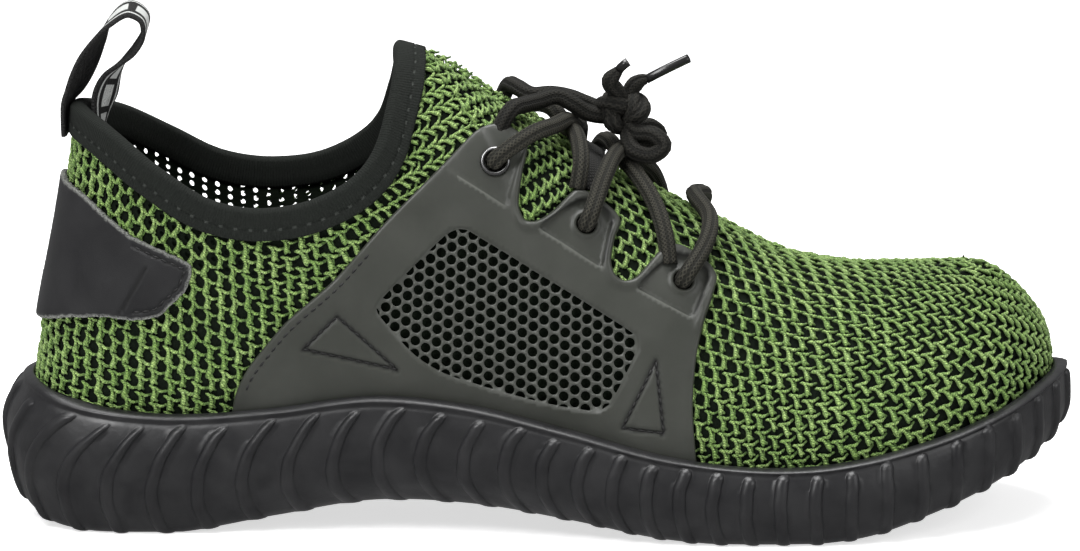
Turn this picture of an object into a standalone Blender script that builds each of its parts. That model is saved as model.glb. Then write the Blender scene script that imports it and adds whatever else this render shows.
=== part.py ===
"""Low-cut safety sneaker: a knitted upper on a ribbed cup sole, laced through moulded side panels."""
import math

import bmesh
import bpy
import numpy as np
from mathutils import Vector
from mathutils.bvhtree import BVHTree

for old in list(bpy.data.objects):
    bpy.data.objects.remove(old, do_unlink=True)

MM = 0.001
LATERAL, MEDIAL = -1, 1

# Overall sizes
LENGTH = 300 * MM
BALL_WIDTH = 107 * MM
SOLE_HEIGHT = 41.5 * MM
COLLAR_HEIGHT = 133.5 * MM
HEEL_CENTRE = 38 * MM
FEATHER_INSET = 8.5 * MM

# Clearances and walls
CLEARANCE = 0.3 * MM
WALL = 2.2 * MM
PANEL_GAP = 0.55 * MM
PANEL_THICKNESS = 1.4 * MM
PANEL_RECESS = 0.7 * MM
PANEL_TUCK = 3.0 * MM
LIP_DEPTH = 5.0 * MM
LIP_LEAST = 1.6 * MM
COUNTER_GAP = 0.4 * MM
COUNTER_THICKNESS = 1.7 * MM
COUNTER_SLOT = (8.0 * MM, 17.0 * MM)
INSOLE_THICKNESS = 4.0 * MM
BINDING_WIDTH = 7.5 * MM
BINDING_THICKNESS = 1.0 * MM

# Sole side and tread
RIB_WIDTH = 3.4 * MM
RIB_HEIGHT = 1.2 * MM
EDGE_ROUND = 3.5 * MM
LUG_DEPTH = 2.6 * MM
LUG_CHANNEL = 3.2 * MM
LUG_PITCH = 11.5 * MM
LUG_MARGIN = 12.0 * MM
LUG_POINT = 7.0 * MM

# Lacing
LACE = 4.8 * MM
AGLET = 2.6 * MM
EYELET_HOLE = 5.5 * MM
EYELET_RING = 8.4 * MM
RING_THICKNESS = 0.9 * MM
KEEPER_THICKNESS = 0.6 * MM
LOOP_WIDTH = 14.0 * MM
LOOP_THICKNESS = 1.6 * MM

# Where the collar closes over the instep, as a share of LENGTH
COLLAR_FRONT = 0.515

# along LENGTH | half widths, lateral and medial, of BALL_WIDTH | lip heights, lateral and medial,
# bottom height and cup floor, of SOLE_HEIGHT | lip lean and bottom tuck, of FEATHER_INSET |
# panel room, of WALL
SOLE_ROWS = np.array([
    (0.000, 0.000, 0.000, 0.970, 0.970, 0.450, 0.560, 0.75, 0.30, 0.0),
    (0.010, 0.165, 0.160, 0.960, 0.960, 0.170, 0.560, 0.75, 0.35, 0.0),
    (0.035, 0.275, 0.268, 0.920, 0.940, 0.050, 0.555, 0.70, 0.40, 0.0),
    (0.085, 0.345, 0.330, 0.850, 0.890, 0.000, 0.550, 0.62, 0.40, 0.0),
    (0.170, 0.368, 0.346, 0.810, 0.860, 0.000, 0.545, 0.50, 0.55, 0.7),
    (0.260, 0.372, 0.335, 0.860, 0.930, 0.100, 0.540, 0.40, 1.00, 0.9),
    (0.350, 0.380, 0.322, 0.945, 1.020, 0.190, 0.530, 0.30, 1.40, 0.9),
    (0.430, 0.405, 0.340, 0.900, 0.990, 0.180, 0.480, 0.25, 1.40, 0.9),
    (0.520, 0.450, 0.395, 0.760, 0.840, 0.110, 0.400, 0.25, 1.10, 0.9),
    (0.610, 0.492, 0.455, 0.600, 0.650, 0.020, 0.335, 0.30, 0.70, 0.9),
    (0.655, 0.503, 0.478, 0.550, 0.590, 0.000, 0.320, 0.35, 0.55, 0.9),
    (0.760, 0.495, 0.490, 0.525, 0.550, 0.000, 0.325, 0.40, 0.45, 0.0),
    (0.800, 0.475, 0.485, 0.560, 0.580, 0.030, 0.345, 0.38, 0.40, 0.0),
    (0.870, 0.400, 0.440, 0.660, 0.670, 0.160, 0.420, 0.30, 0.35, 0.0),
    (0.935, 0.275, 0.355, 0.800, 0.800, 0.320, 0.530, 0.18, 0.30, 0.0),
    (0.980, 0.095, 0.225, 0.920, 0.920, 0.460, 0.620, 0.10, 0.30, 0.0),
    (1.000, -0.090, 0.090, 0.980, 0.980, 0.580, 0.660, 0.08, 0.30, 0.0),
])
HALF, LIP = tuple(range(1, 3)), tuple(range(3, 5))
BOTTOM, FLOOR, LEAN, UNDER, ROOM = range(5, 10)

# along LENGTH | top edge: along LENGTH, lateral and medial across BALL_WIDTH,
# lateral and medial up COLLAR_HEIGHT | bulge, lower and upper pull and drop, as shares of the section
UPPER_ROWS = np.array([
    (0.000, 0.068, 0.000, 0.000, 0.860, 0.860, 0.06, 0.35, 0.20, 0.40),
    (0.035, 0.080, 0.110, 0.110, 0.850, 0.850, 0.06, 0.35, 0.20, 0.40),
    (0.085, 0.107, 0.205, 0.205, 0.818, 0.826, 0.06, 0.35, 0.20, 0.40),
    (0.150, 0.152, 0.275, 0.275, 0.748, 0.770, 0.05, 0.35, 0.20, 0.40),
    (0.205, 0.200, 0.292, 0.290, 0.685, 0.718, 0.05, 0.35, 0.20, 0.40),
    (0.260, 0.250, 0.290, 0.288, 0.668, 0.704, 0.05, 0.35, 0.20, 0.40),
    (0.310, 0.297, 0.282, 0.280, 0.688, 0.720, 0.05, 0.35, 0.20, 0.40),
    (0.355, 0.335, 0.262, 0.265, 0.735, 0.765, 0.05, 0.35, 0.25, 0.35),
    (0.400, 0.358, 0.225, 0.235, 0.805, 0.825, 0.04, 0.35, 0.35, 0.30),
    (0.440, 0.367, 0.165, 0.180, 0.885, 0.895, 0.03, 0.35, 0.45, 0.22),
    (0.480, 0.371, 0.080, 0.100, 0.960, 0.965, 0.02, 0.35, 0.55, 0.12),
    (0.515, 0.372, -0.015, 0.015, 0.985, 0.985, 0.00, 0.35, 0.62, 0.05),
    (0.570, 0.430, -0.030, 0.030, 0.905, 0.905, 0.00, 0.33, 0.62, 0.02),
    (0.630, 0.525, -0.038, 0.038, 0.775, 0.775, 0.02, 0.33, 0.62, 0.01),
    (0.690, 0.620, -0.045, 0.045, 0.660, 0.660, 0.08, 0.35, 0.62, 0.01),
    (0.750, 0.710, -0.052, 0.052, 0.567, 0.567, 0.16, 0.40, 0.64, 0.01),
    (0.810, 0.787, -0.058, 0.058, 0.526, 0.526, 0.26, 0.44, 0.68, 0.01),
    (0.870, 0.840, -0.064, 0.064, 0.520, 0.520, 0.38, 0.46, 0.72, 0.01),
    (0.935, 0.880, -0.070, 0.070, 0.522, 0.522, 0.52, 0.46, 0.76, 0.01),
    (1.000, 0.900, -0.074, 0.074, 0.522, 0.522, 0.60, 0.46, 0.78, 0.01),
])
ALONG, TOP_ALONG = range(2)
TOP_ACROSS, TOP_UP = tuple(range(2, 4)), tuple(range(4, 6))
BULGE, SIDE, CROWN, DROP = range(6, 10)

# Rib spacing, slant and bow along the sole's outline: share of the outline | each as a share of LENGTH
RIB_ROWS = np.array([
    (0.00, 0.0400, 0.059, 0.149),
    (0.10, 0.0400, 0.055, 0.140),
    (0.17, 0.0400, 0.027, 0.087),
    (0.30, 0.0400, 0.020, 0.100),
    (0.40, 0.0380, 0.010, 0.091),
    (0.50, 0.0310, 0.003, 0.069),
    (0.60, 0.0290, -0.001, 0.038),
    (0.75, 0.0345, 0.000, 0.008),
    (1.00, 0.0400, 0.000, 0.000),
])
RIB_PITCH, RIB_SLANT, RIB_BOW = range(1, 4)

# Side height from bottom edge to lip: share of the height | share of RIB_HEIGHT there
SIDE_ROWS = ((0.0, 0.55), (0.14, 1.0), (0.48, 1.0), (0.79, 0.9), (0.85, 0.0), (1.0, 0.0))

# Side view of the moulded panel: along LENGTH, up COLLAR_HEIGHT
PANEL_OUTLINE = (
    (0.215, 0.10), (0.219, 0.272), (0.229, 0.332), (0.246, 0.385), (0.269, 0.445), (0.313, 0.532),
    (0.357, 0.642), (0.404, 0.743), (0.437, 0.817), (0.450, 0.836), (0.464, 0.838), (0.478, 0.822),
    (0.488, 0.790), (0.485, 0.747), (0.482, 0.683), (0.488, 0.653), (0.498, 0.651), (0.513, 0.670),
    (0.532, 0.705), (0.543, 0.700), (0.564, 0.668), (0.574, 0.641), (0.569, 0.609), (0.566, 0.568),
    (0.570, 0.542), (0.579, 0.530), (0.589, 0.536), (0.611, 0.583), (0.621, 0.590), (0.632, 0.585),
    (0.656, 0.549), (0.663, 0.523), (0.650, 0.437), (0.644, 0.376), (0.641, 0.280), (0.644, 0.183),
    (0.646, 0.10),
)
WINDOW_OUTLINE = (
    (0.426, 0.635), (0.437, 0.632), (0.588, 0.428), (0.591, 0.395), (0.567, 0.285), (0.554, 0.267),
    (0.503, 0.282), (0.416, 0.334), (0.386, 0.373), (0.354, 0.451), (0.350, 0.472), (0.357, 0.497),
    (0.413, 0.620),
)
EYELETS = ((0.4604, 0.765), (0.5430, 0.640), (0.6316, 0.524))
COUNTER_OUTLINE = (
    (-0.02, 0.765), (0.052, 0.750), (0.064, 0.713), (0.084, 0.691), (0.125, 0.623), (0.146, 0.601),
    (0.182, 0.562), (0.177, 0.511), (0.162, 0.476), (0.151, 0.453), (0.127, 0.444), (0.102, 0.448),
    (0.070, 0.440), (-0.02, 0.405),
)

# Lace paths over the instep: along LENGTH, across BALL_WIDTH, lift of the lace's middle in LACE
BAR_PATH = (
    (0.6316, -0.285, 1.05), (0.648, -0.205, 1.05), (0.652, -0.120, 0.95), (0.642, -0.020, 0.80),
    (0.640, 0.060, 0.80), (0.650, 0.150, 0.95), (0.648, 0.225, 1.05), (0.6316, 0.285, 1.05),
)
LOW_CROSS = (
    ((0.612, -0.215, 0.68), (0.603, -0.160, 0.70), (0.585, -0.080, 0.74), (0.570, 0.000, 0.86),
     (0.560, 0.090, 0.98), (0.552, 0.180, 1.02), (0.543, 0.255, 1.15)),
    ((0.612, 0.215, 0.68), (0.603, 0.160, 0.72), (0.586, 0.080, 0.95), (0.572, 0.000, 1.25),
     (0.562, -0.090, 1.08), (0.553, -0.180, 1.02), (0.543, -0.255, 1.15)),
)
HIGH_CROSS = (
    ((0.533, -0.170, 0.86), (0.531, -0.120, 0.84), (0.527, -0.060, 0.80), (0.520, 0.020, 0.78),
     (0.505, 0.120, 0.80), (0.486, 0.192, 1.80), (0.4670, 0.209, 2.70)),
    ((0.533, 0.170, 0.86), (0.531, 0.120, 0.86), (0.527, 0.060, 0.95), (0.520, -0.020, 1.15),
     (0.505, -0.120, 0.95), (0.484, -0.195, 1.45), (0.4604, -0.215, 2.20)),
)
LEADS = (
    ((0.469, -0.135, 0.72), (0.480, -0.090, 0.78), (0.491, -0.050, 1.20), (0.508, -0.035, 2.15),
     (0.524, -0.032, 2.30), (0.5355, -0.020, 2.25)),
    ((0.466, 0.135, 0.72), (0.473, 0.080, 0.90), (0.486, 0.045, 1.50), (0.506, 0.035, 2.30),
     (0.524, 0.032, 2.70), (0.5350, 0.030, 2.80)),
)
KEEPER = (0.534, 0.560, 0.200)
# Free lace: along LENGTH, across BALL_WIDTH, up COLLAR_HEIGHT
KNOT_PLACE = (0.578, 0.010, 0.845)
KNOT_SIZE = (8.5 * MM, 6.5 * MM, 6.0 * MM)
LOOPS = (
    ((0.592, -0.040, 0.805), (0.609, -0.075, 0.803), (0.616, -0.085, 0.785), (0.606, -0.090, 0.765),
     (0.592, -0.080, 0.768)),
    ((0.590, 0.070, 0.805), (0.607, 0.100, 0.800), (0.613, 0.110, 0.785), (0.604, 0.120, 0.770),
     (0.591, 0.115, 0.775)),
)
SHORT_END = ((0.572, -0.020, 0.893), (0.566, -0.036, 0.912), (0.573, -0.045, 0.935))
SHORT_AGLET = ((0.5742, -0.0458, 0.938), (0.583, -0.052, 0.957))
LONG_END = ((0.590, 0.020, 0.901), (0.598, 0.022, 0.911))
LONG_AGLET = ((0.6008, 0.0225, 0.9115), (0.640, 0.030, 0.955))

# Pull loop: along LENGTH, across BALL_WIDTH, up COLLAR_HEIGHT, turn of the tape in degrees
PULL_ROWS = (
    (0.0568, 0.000, 0.775, 0), (0.0578, 0.000, 0.830, 0), (0.0582, 0.000, 0.885, 2),
    (0.0610, 0.000, 0.955, 18), (0.0790, 0.000, 1.025, 32), (0.1080, 0.000, 1.064, 36),
    (0.1310, 0.000, 1.058, 36), (0.1385, 0.000, 1.025, 34), (0.1300, 0.000, 0.985, 26),
    (0.1150, 0.000, 0.945, 16), (0.0990, 0.000, 0.900, 6), (0.0925, 0.000, 0.850, 0),
    (0.0915, 0.000, 0.805, 0),
)

UPPER_COLUMNS = 18
UPPER_LEVELS = 8
PANEL_COLUMNS = 15
PANEL_LEVELS = 8


def material(name, colour, roughness, metallic=0.0):
    """A plain surface for one kind of stuff."""
    made = bpy.data.materials.new(name)
    made.use_nodes = True
    shader = made.node_tree.nodes["Principled BSDF"]
    shader.inputs["Base Color"].default_value = (*colour, 1.0)
    shader.inputs["Roughness"].default_value = roughness
    shader.inputs["Metallic"].default_value = metallic
    return made


KNIT = material("green_knit", (0.09, 0.16, 0.05), 0.9)
RUBBER = material("sole_rubber", (0.022, 0.022, 0.024), 0.45)
FOAM = material("insole_fabric", (0.02, 0.02, 0.022), 0.95)
PANEL = material("panel_moulding", (0.068, 0.07, 0.06), 0.5)
LEATHER = material("counter_leather", (0.025, 0.025, 0.026), 0.55)
TAPE = material("binding_tape", (0.022, 0.024, 0.024), 0.9)
WEBBING = material("webbing", (0.014, 0.014, 0.014), 0.85)
CORD = material("lace_cord", (0.028, 0.027, 0.02), 0.85)
PLASTIC = material("lace_tip", (0.02, 0.02, 0.02), 0.35)
METAL = material("eyelet_metal", (0.05, 0.05, 0.05), 0.25, 1.0)

SHOE = bpy.data.collections.new("safety_sneaker")
CUTTERS = bpy.data.collections.new("cutters")
bpy.context.scene.collection.children.link(SHOE)
bpy.context.scene.collection.children.link(CUTTERS)


def station(along):
    """Even steps of a station crowd towards the two tips, as the outline turns there."""
    return np.arccos(1 - 2 * np.asarray(along, float)) / math.pi


def along_of(place):
    return (1 - np.cos(math.pi * np.asarray(place, float))) / 2


def smooth(rows, column, place, first=None):
    """A smooth curve through one column of a table, at the given stations."""
    at = station(rows[:, ALONG]) if first is None else first
    value = rows[:, column]
    step = np.diff(at)
    rise = np.diff(value) / step
    slope = np.empty_like(value)
    slope[1:-1] = (rise[:-1] * step[1:] + rise[1:] * step[:-1]) / (step[:-1] + step[1:])
    slope[0] = 1.5 * rise[0] - 0.5 * slope[1]
    slope[-1] = 1.5 * rise[-1] - 0.5 * slope[-2]
    place = np.clip(np.asarray(place, float), 0, 1)
    low = np.clip(np.searchsorted(at, place, side="right") - 1, 0, len(at) - 2)
    width = at[low + 1] - at[low]
    part = (place - at[low]) / width
    return (
        (1 + 2 * part) * (1 - part) ** 2 * value[low]
        + part * (1 - part) ** 2 * width * slope[low]
        + part**2 * (3 - 2 * part) * value[low + 1]
        + part**2 * (part - 1) * width * slope[low + 1]
    )


def outline(place, side):
    """Plan point of the sole's widest line."""
    across = smooth(SOLE_ROWS, HALF[side > 0], place) * BALL_WIDTH * side
    return np.stack([along_of(place) * LENGTH - HEEL_CENTRE, across], -1)


def outward(place, side):
    """Plan direction away from the foot."""
    place = np.asarray(place, float)
    ahead = outline(np.clip(place + 1e-4, 0, 1), side)
    behind = outline(np.clip(place - 1e-4, 0, 1), side)
    run = ahead - behind
    turn = np.stack([run[..., 1] * -side, run[..., 0] * side], -1)
    turn /= np.linalg.norm(turn, axis=-1, keepdims=True)
    tip = (place <= 1e-6) | (place >= 1 - 1e-6)
    straight = np.stack([np.where(place > 0.5, 1.0, -1.0), np.zeros_like(place)], -1)
    return np.where(tip[..., None], straight, turn)


def high(value, height=None):
    """A plan direction or point with a height."""
    height = np.zeros(value.shape[:-1]) if height is None else height
    return np.concatenate([value, np.asarray(height)[..., None]], -1)


def upper_point(place, side, level):
    """Point of the upper's outer face: level 0 at the cup floor and 1 at the collar or the ridge."""
    place, level = np.broadcast_arrays(np.asarray(place, float), np.asarray(level, float))
    floor = smooth(SOLE_ROWS, FLOOR, place) * SOLE_HEIGHT + CLEARANCE
    away = outward(place, side)
    foot = high(outline(place, side) - away * FEATHER_INSET, floor)
    across = [smooth(UPPER_ROWS, TOP_ACROSS[s > 0], place) * BALL_WIDTH * s for s in (LATERAL, MEDIAL)]
    up = [smooth(UPPER_ROWS, TOP_UP[s > 0], place) * COLLAR_HEIGHT for s in (LATERAL, MEDIAL)]
    closed = place >= station(COLLAR_FRONT) - 1e-9
    top = np.stack(
        [
            smooth(UPPER_ROWS, TOP_ALONG, place) * LENGTH - HEEL_CENTRE,
            np.where(closed, (across[0] + across[1]) / 2, across[side > 0]),
            np.where(closed, (up[0] + up[1]) / 2, up[side > 0]),
        ],
        -1,
    )
    bulge, lower, crown, drop = (smooth(UPPER_ROWS, c, place)[..., None] for c in (BULGE, SIDE, CROWN, DROP))
    height = (top - foot)[..., 2:]
    rise = np.array((0.0, 0.0, 1.0))
    low = foot + lower * height * (rise + bulge * high(away))
    near = top + crown * (foot - top) * np.array((1.0, 1.0, 0.0)) - drop * height * rise
    v = level[..., None]
    return (1 - v) ** 3 * foot + 3 * v * (1 - v) ** 2 * low + 3 * v**2 * (1 - v) * near + v**3 * top


def upper_offset(place, side, level, distance):
    """The upper's outer face moved out along its normal."""
    place, level = np.broadcast_arrays(np.asarray(place, float), np.asarray(level, float))
    a = np.clip(place, 2e-3, 1 - 2e-3)
    b = np.clip(level, 2e-3, 1 - 2e-3)
    along = upper_point(a + 1e-3, side, b) - upper_point(a - 1e-3, side, b)
    rising = upper_point(a, side, b + 1e-3) - upper_point(a, side, b - 1e-3)
    normal = np.cross(along, rising) * -side
    normal /= np.linalg.norm(normal, axis=-1, keepdims=True)
    tip = (place <= 1e-6) | (place >= 1 - 1e-6)
    normal[..., 1] = np.where(tip, 0.0, normal[..., 1])
    return upper_point(place, side, level) + normal * distance


def level_at(place, side, height):
    """Level of the upper's face at a height, for one station."""
    levels = np.linspace(0, 1, 80)
    return float(np.interp(height, upper_point(np.full(80, place), side, levels)[:, 2], levels))


def place_at(x, z, side):
    """Station and level where a side view point meets the upper."""
    places, levels = np.meshgrid(np.linspace(0.05, 0.95, 181), np.linspace(0, 1, 101), indexing="ij")
    spread = upper_point(places, side, levels)
    miss = np.hypot(spread[..., 0] - x, spread[..., 2] - z)
    best = np.unravel_index(miss.argmin(), miss.shape)
    return float(places[best]), float(levels[best])


def add_mesh(name, points, faces, stuff=None):
    """A mesh object: a part when it has a material, else a cutter."""
    mesh = bpy.data.meshes.new(name)
    mesh.from_pydata([tuple(map(float, p)) for p in points], [], [tuple(map(int, f)) for f in faces])
    work = bmesh.new()
    work.from_mesh(mesh)
    bmesh.ops.remove_doubles(work, verts=work.verts, dist=1e-7)
    bmesh.ops.recalc_face_normals(work, faces=work.faces)
    bmesh.ops.triangulate(work, faces=[f for f in work.faces if len(f.verts) == 4])
    work.to_mesh(mesh)
    work.free()
    obj = bpy.data.objects.new(name, mesh)
    if stuff is None:
        CUTTERS.objects.link(obj)
        obj.hide_render = True
        obj.display_type = "WIRE"
        return obj
    mesh.materials.append(stuff)
    mesh.polygons.foreach_set("use_smooth", [True] * len(mesh.polygons))
    SHOE.objects.link(obj)
    return obj


def boolean(obj, cutter, operation):
    made = obj.modifiers.new(cutter.name, "BOOLEAN")
    made.operation = operation
    made.solver = "EXACT"
    made.object = cutter
    obj.modifiers.new("flat_faces", "TRIANGULATE")


def grid_faces(columns, levels, start=0, closed=False):
    faces = []
    for i in range(columns if closed else columns - 1):
        j = (i + 1) % columns
        for k in range(levels - 1):
            faces.append((start + i * levels + k, start + j * levels + k,
                          start + j * levels + k + 1, start + i * levels + k + 1))
    return faces


def layer_solid(name, inner, outer, stuff=None):
    """The solid between two grids of points with the same columns and levels."""
    columns, levels = inner.shape[:2]
    count = columns * levels
    faces = grid_faces(columns, levels) + [tuple(reversed(f)) for f in grid_faces(columns, levels, count)]
    border = [i * levels for i in range(columns)]
    border += [(columns - 1) * levels + k for k in range(1, levels)]
    border += [i * levels + levels - 1 for i in range(columns - 2, -1, -1)]
    border += list(range(levels - 2, 0, -1))
    for a, b in zip(border, border[1:] + border[:1]):
        faces.append((a, b, b + count, a + count))
    return add_mesh(name, np.concatenate([inner.reshape(-1, 3), outer.reshape(-1, 3)]), faces, stuff)


def prisms(name, outlines, near, far):
    """Side view outlines, as shares of LENGTH and COLLAR_HEIGHT, drawn out across the shoe."""
    points, faces = [], []
    for table in outlines:
        start = len(points)
        count = len(table)
        for y in (near, far):
            points += [(x * LENGTH - HEEL_CENTRE, y, z * COLLAR_HEIGHT) for x, z in table]
        faces.append(tuple(range(start, start + count)))
        faces.append(tuple(reversed(range(start + count, start + 2 * count))))
        for a in range(count):
            b = (a + 1) % count
            faces.append((start + a, start + b, start + count + b, start + count + a))
    return add_mesh(name, points, faces)


def frames(path):
    """Direction and two crosswise directions along a path, without twist."""
    path = np.asarray(path, float)
    run = np.gradient(path, axis=0)
    run /= np.linalg.norm(run, axis=1, keepdims=True)
    side = np.cross(run[0], (0.0, 0.3, 1.0))
    sides = []
    for direction in run:
        side = side - direction * np.dot(side, direction)
        side = side / np.linalg.norm(side)
        sides.append(side)
    sides = np.array(sides)
    return run, sides, np.cross(run, sides)


def curve_through(rows, steps):
    """Points at even steps along a smooth curve through the rows."""
    rows = np.asarray(rows, float)
    gaps = np.linalg.norm(np.diff(rows[:, :3], axis=0), axis=1)
    at = np.concatenate([[0], np.cumsum(gaps)]) / gaps.sum()
    want = np.linspace(0, 1, steps)
    return np.stack([smooth(rows, c, want, at) for c in range(rows.shape[1])], -1)


def tube(name, path, radius, stuff, sides=7):
    run, side, other = frames(path)
    turn = np.linspace(0, 2 * math.pi, sides, endpoint=False)
    ring = np.cos(turn)[None, :, None] * side[:, None] + np.sin(turn)[None, :, None] * other[:, None]
    points = (np.asarray(path)[:, None] + ring * radius).reshape(-1, 3)
    faces = []
    for i in range(len(path) - 1):
        for k in range(sides):
            m = (k + 1) % sides
            faces.append((i * sides + k, i * sides + m, (i + 1) * sides + m, (i + 1) * sides + k))
    faces.append(tuple(range(sides)))
    faces.append(tuple(reversed(range(len(points) - sides, len(points)))))
    return add_mesh(name, points, faces, stuff)


def at_shares(rows):
    scale = np.array((LENGTH, BALL_WIDTH, COLLAR_HEIGHT))
    return np.asarray(rows, float)[:, :3] * scale - np.array((HEEL_CENTRE, 0.0, 0.0))


# Upper: outer face from paired columns, joined at the heel, the toe and the instep ridge
front = float(station(COLLAR_FRONT))
upper_places = np.concatenate([
    np.linspace(0, 0.74 * front, UPPER_COLUMNS - 6), np.linspace(0.74 * front, front, 9)[1:],
    np.linspace(front, 1, UPPER_COLUMNS + 1)[1:],
])
UPPER_FRONT = UPPER_COLUMNS + 1
upper_levels = np.linspace(0, 1, UPPER_LEVELS) ** 0.92
upper_sides = [
    upper_point(upper_places[:, None], side, upper_levels[None, :]) for side in (LATERAL, MEDIAL)
]
upper_count = upper_sides[0].shape[0] * UPPER_LEVELS
upper = add_mesh(
    "upper",
    np.concatenate([s.reshape(-1, 3) for s in upper_sides]),
    grid_faces(len(upper_places), UPPER_LEVELS)
    + [tuple(reversed(f)) for f in grid_faces(len(upper_places), UPPER_LEVELS, upper_count)],
    KNIT,
)
face = bmesh.new()
face.from_mesh(upper.data)
face.normal_update()
if sum(f.normal.z * f.calc_area() for f in face.faces) < 0:
    bmesh.ops.reverse_faces(face, faces=face.faces)
bmesh.ops.triangulate(face, faces=face.faces)
face.to_mesh(upper.data)
skin = BVHTree.FromBMesh(face)
face.free()


def skin_near(point):
    """Nearest point of the upper's outer face, its smoothed normal and the distance."""
    place, _, number, distance = skin.find_nearest(point)
    normal = Vector((0.0, 0.0, 0.0))
    for v in upper.data.polygons[number].vertices:
        vertex = upper.data.vertices[v]
        normal += vertex.normal / ((vertex.co - place).length_squared + 1e-10)
    return place, normal.normalized(), distance


wall = upper.modifiers.new("wall", "SOLIDIFY")
wall.thickness = WALL
wall.offset = -1


# Sole: columns round the outline that follow the ribs, with the cup inside and a flat bottom
def shares_of_outline(side):
    places = np.linspace(0, 1, 2001)
    steps = np.linalg.norm(np.diff(outline(places, side), axis=0), axis=1)
    run = np.concatenate([[0], np.cumsum(steps)])
    return places, run / run[-1], run[-1]


def rib_row(share, column):
    return np.interp(share, RIB_ROWS[:, ALONG], RIB_ROWS[:, column])


def sole_columns(side):
    """Shares of the outline at the sole's columns, and how much rib each has."""
    _, _, total = shares_of_outline(side)
    centres = []
    share = 0.45 * rib_row(0, RIB_PITCH) * LENGTH / TOTAL
    while share < 1:
        centres.append(share)
        share += rib_row(share, RIB_PITCH) * LENGTH / TOTAL
    centres = np.array(centres)
    last = 1 - 0.45 * rib_row(1, RIB_PITCH) * LENGTH / TOTAL
    centres = centres[:-1] if centres[-1] > 0.985 else centres
    centres = centres[0] + (centres - centres[0]) * (last - centres[0]) / (centres[-1] - centres[0])
    half = RIB_WIDTH / 2 / total
    columns, ribs = [0.0], [0.0]
    for centre in centres:
        columns += [centre - half, centre - 0.45 * half, centre + 0.45 * half, centre + half]
        ribs += [0.0, 1.0, 1.0, 0.0]
    return np.array(columns + [1.0]), np.array(ribs + [0.0])


def place_of(share, side):
    places, run, _ = shares_of_outline(side)
    return np.interp(share, run, places)


TOTAL = (shares_of_outline(LATERAL)[2] + shares_of_outline(MEDIAL)[2]) / 2


def bottom_of(place):
    return np.maximum(smooth(SOLE_ROWS, BOTTOM, place), 0) * SOLE_HEIGHT


def cup_inset(place, side, height):
    """How far inside the outline the upper's face stands at a height."""
    found = []
    for p, h in zip(np.atleast_1d(place), np.atleast_1d(height)):
        point = upper_point(p, side, level_at(p, side, h))
        found.append(np.dot(outline(p, side) - point[:2], outward(p, side)))
    return np.array(found)


def sole_side(side):
    """Grid of the sole's outer side: columns by side rows, plus the rolled bottom edge first."""
    shares, ribs = sole_columns(side)
    fade = np.clip(np.minimum(shares, 1 - shares) / 0.10, 0, 1)
    grid = []
    for height, lift in SIDE_ROWS:
        shift = rib_row(shares, RIB_SLANT) * (height - 0.5) + rib_row(shares, RIB_BOW) * (height - 0.5) ** 2
        place = place_of(np.clip(shares + shift * fade * LENGTH / TOTAL, 0, 1), side)
        low = bottom_of(place)
        lip = smooth(SOLE_ROWS, LIP[side > 0], place) * SOLE_HEIGHT
        tuck = np.clip((0.45 - height) / 0.45, 0, 1) ** 2 * smooth(SOLE_ROWS, UNDER, place)
        lean = np.clip((height - 0.45) / 0.55, 0, 1) ** 2 * smooth(SOLE_ROWS, LEAN, place)
        inset = (tuck + lean) * FEATHER_INSET - ribs * lift * RIB_HEIGHT
        rolled = 0.16 * EDGE_ROUND if height == 0 else 0.0
        plan = outline(place, side) - outward(place, side) * inset[:, None]
        grid.append(high(plan, low + rolled + height * (lip - low)))
    return shares, np.stack(grid, 1)


def sole_inside(side, shares):
    """Cup wall from the lip down to the floor, then the bottom's inner line."""
    place = place_of(shares, side)
    lip = smooth(SOLE_ROWS, LIP[side > 0], place) * SOLE_HEIGHT
    lean = smooth(SOLE_ROWS, LEAN, place) * FEATHER_INSET
    room = 2 * CLEARANCE + np.maximum(smooth(SOLE_ROWS, ROOM, place), 0) * WALL
    floor = smooth(SOLE_ROWS, FLOOR, place) * SOLE_HEIGHT
    rows = []
    for height, gap in ((lip, room), (lip - LIP_DEPTH, room), (floor, 2 * CLEARANCE + 0 * room)):
        height = np.maximum(height, floor)
        inset = np.maximum(cup_inset(place, side, height) - gap, lean + LIP_LEAST)
        rows.append(high(outline(place, side) - outward(place, side) * inset[:, None], height))
    tuck = smooth(SOLE_ROWS, UNDER, place) * FEATHER_INSET + EDGE_ROUND
    rows.append(high(outline(place, side) - outward(place, side) * tuck[:, None], bottom_of(place)))
    return np.stack(rows, 1)


sole_points, sole_faces = [], []
sole_floor, sole_base = {}, {}
for side in (LATERAL, MEDIAL):
    shares, outer = sole_side(side)
    coarse = np.concatenate([np.arange(0, len(shares) - 1, 4), [len(shares) - 1]])
    inner = sole_inside(side, shares[coarse])
    start = len(sole_points)
    rows = outer.shape[1]
    sole_points += list(outer.reshape(-1, 3))
    sole_faces += grid_faces(len(shares), rows, start)
    inside = len(sole_points)
    sole_points += list(inner.reshape(-1, 3))
    for k in range(len(coarse) - 1):
        span = range(coarse[k], coarse[k + 1] + 1)
        a, b = inside + 4 * k, inside + 4 * (k + 1)
        sole_faces.append(tuple([start + i * rows + rows - 1 for i in span] + [b, a]))
        sole_faces.append(tuple([start + i * rows for i in span] + [b + 3, a + 3]))
        sole_faces += [(a, b, b + 1, a + 1), (a + 1, b + 1, b + 2, a + 2)]
    sole_floor[side] = [inside + 4 * k + 2 for k in range(len(coarse))]
    sole_base[side] = [inside + 4 * k + 3 for k in range(len(coarse))]
for line in (sole_floor, sole_base):
    for k in range(len(line[LATERAL]) - 1):
        sole_faces.append((line[LATERAL][k], line[LATERAL][k + 1], line[MEDIAL][k + 1], line[MEDIAL][k]))
sole = add_mesh("sole", sole_points, sole_faces, RUBBER)

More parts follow.
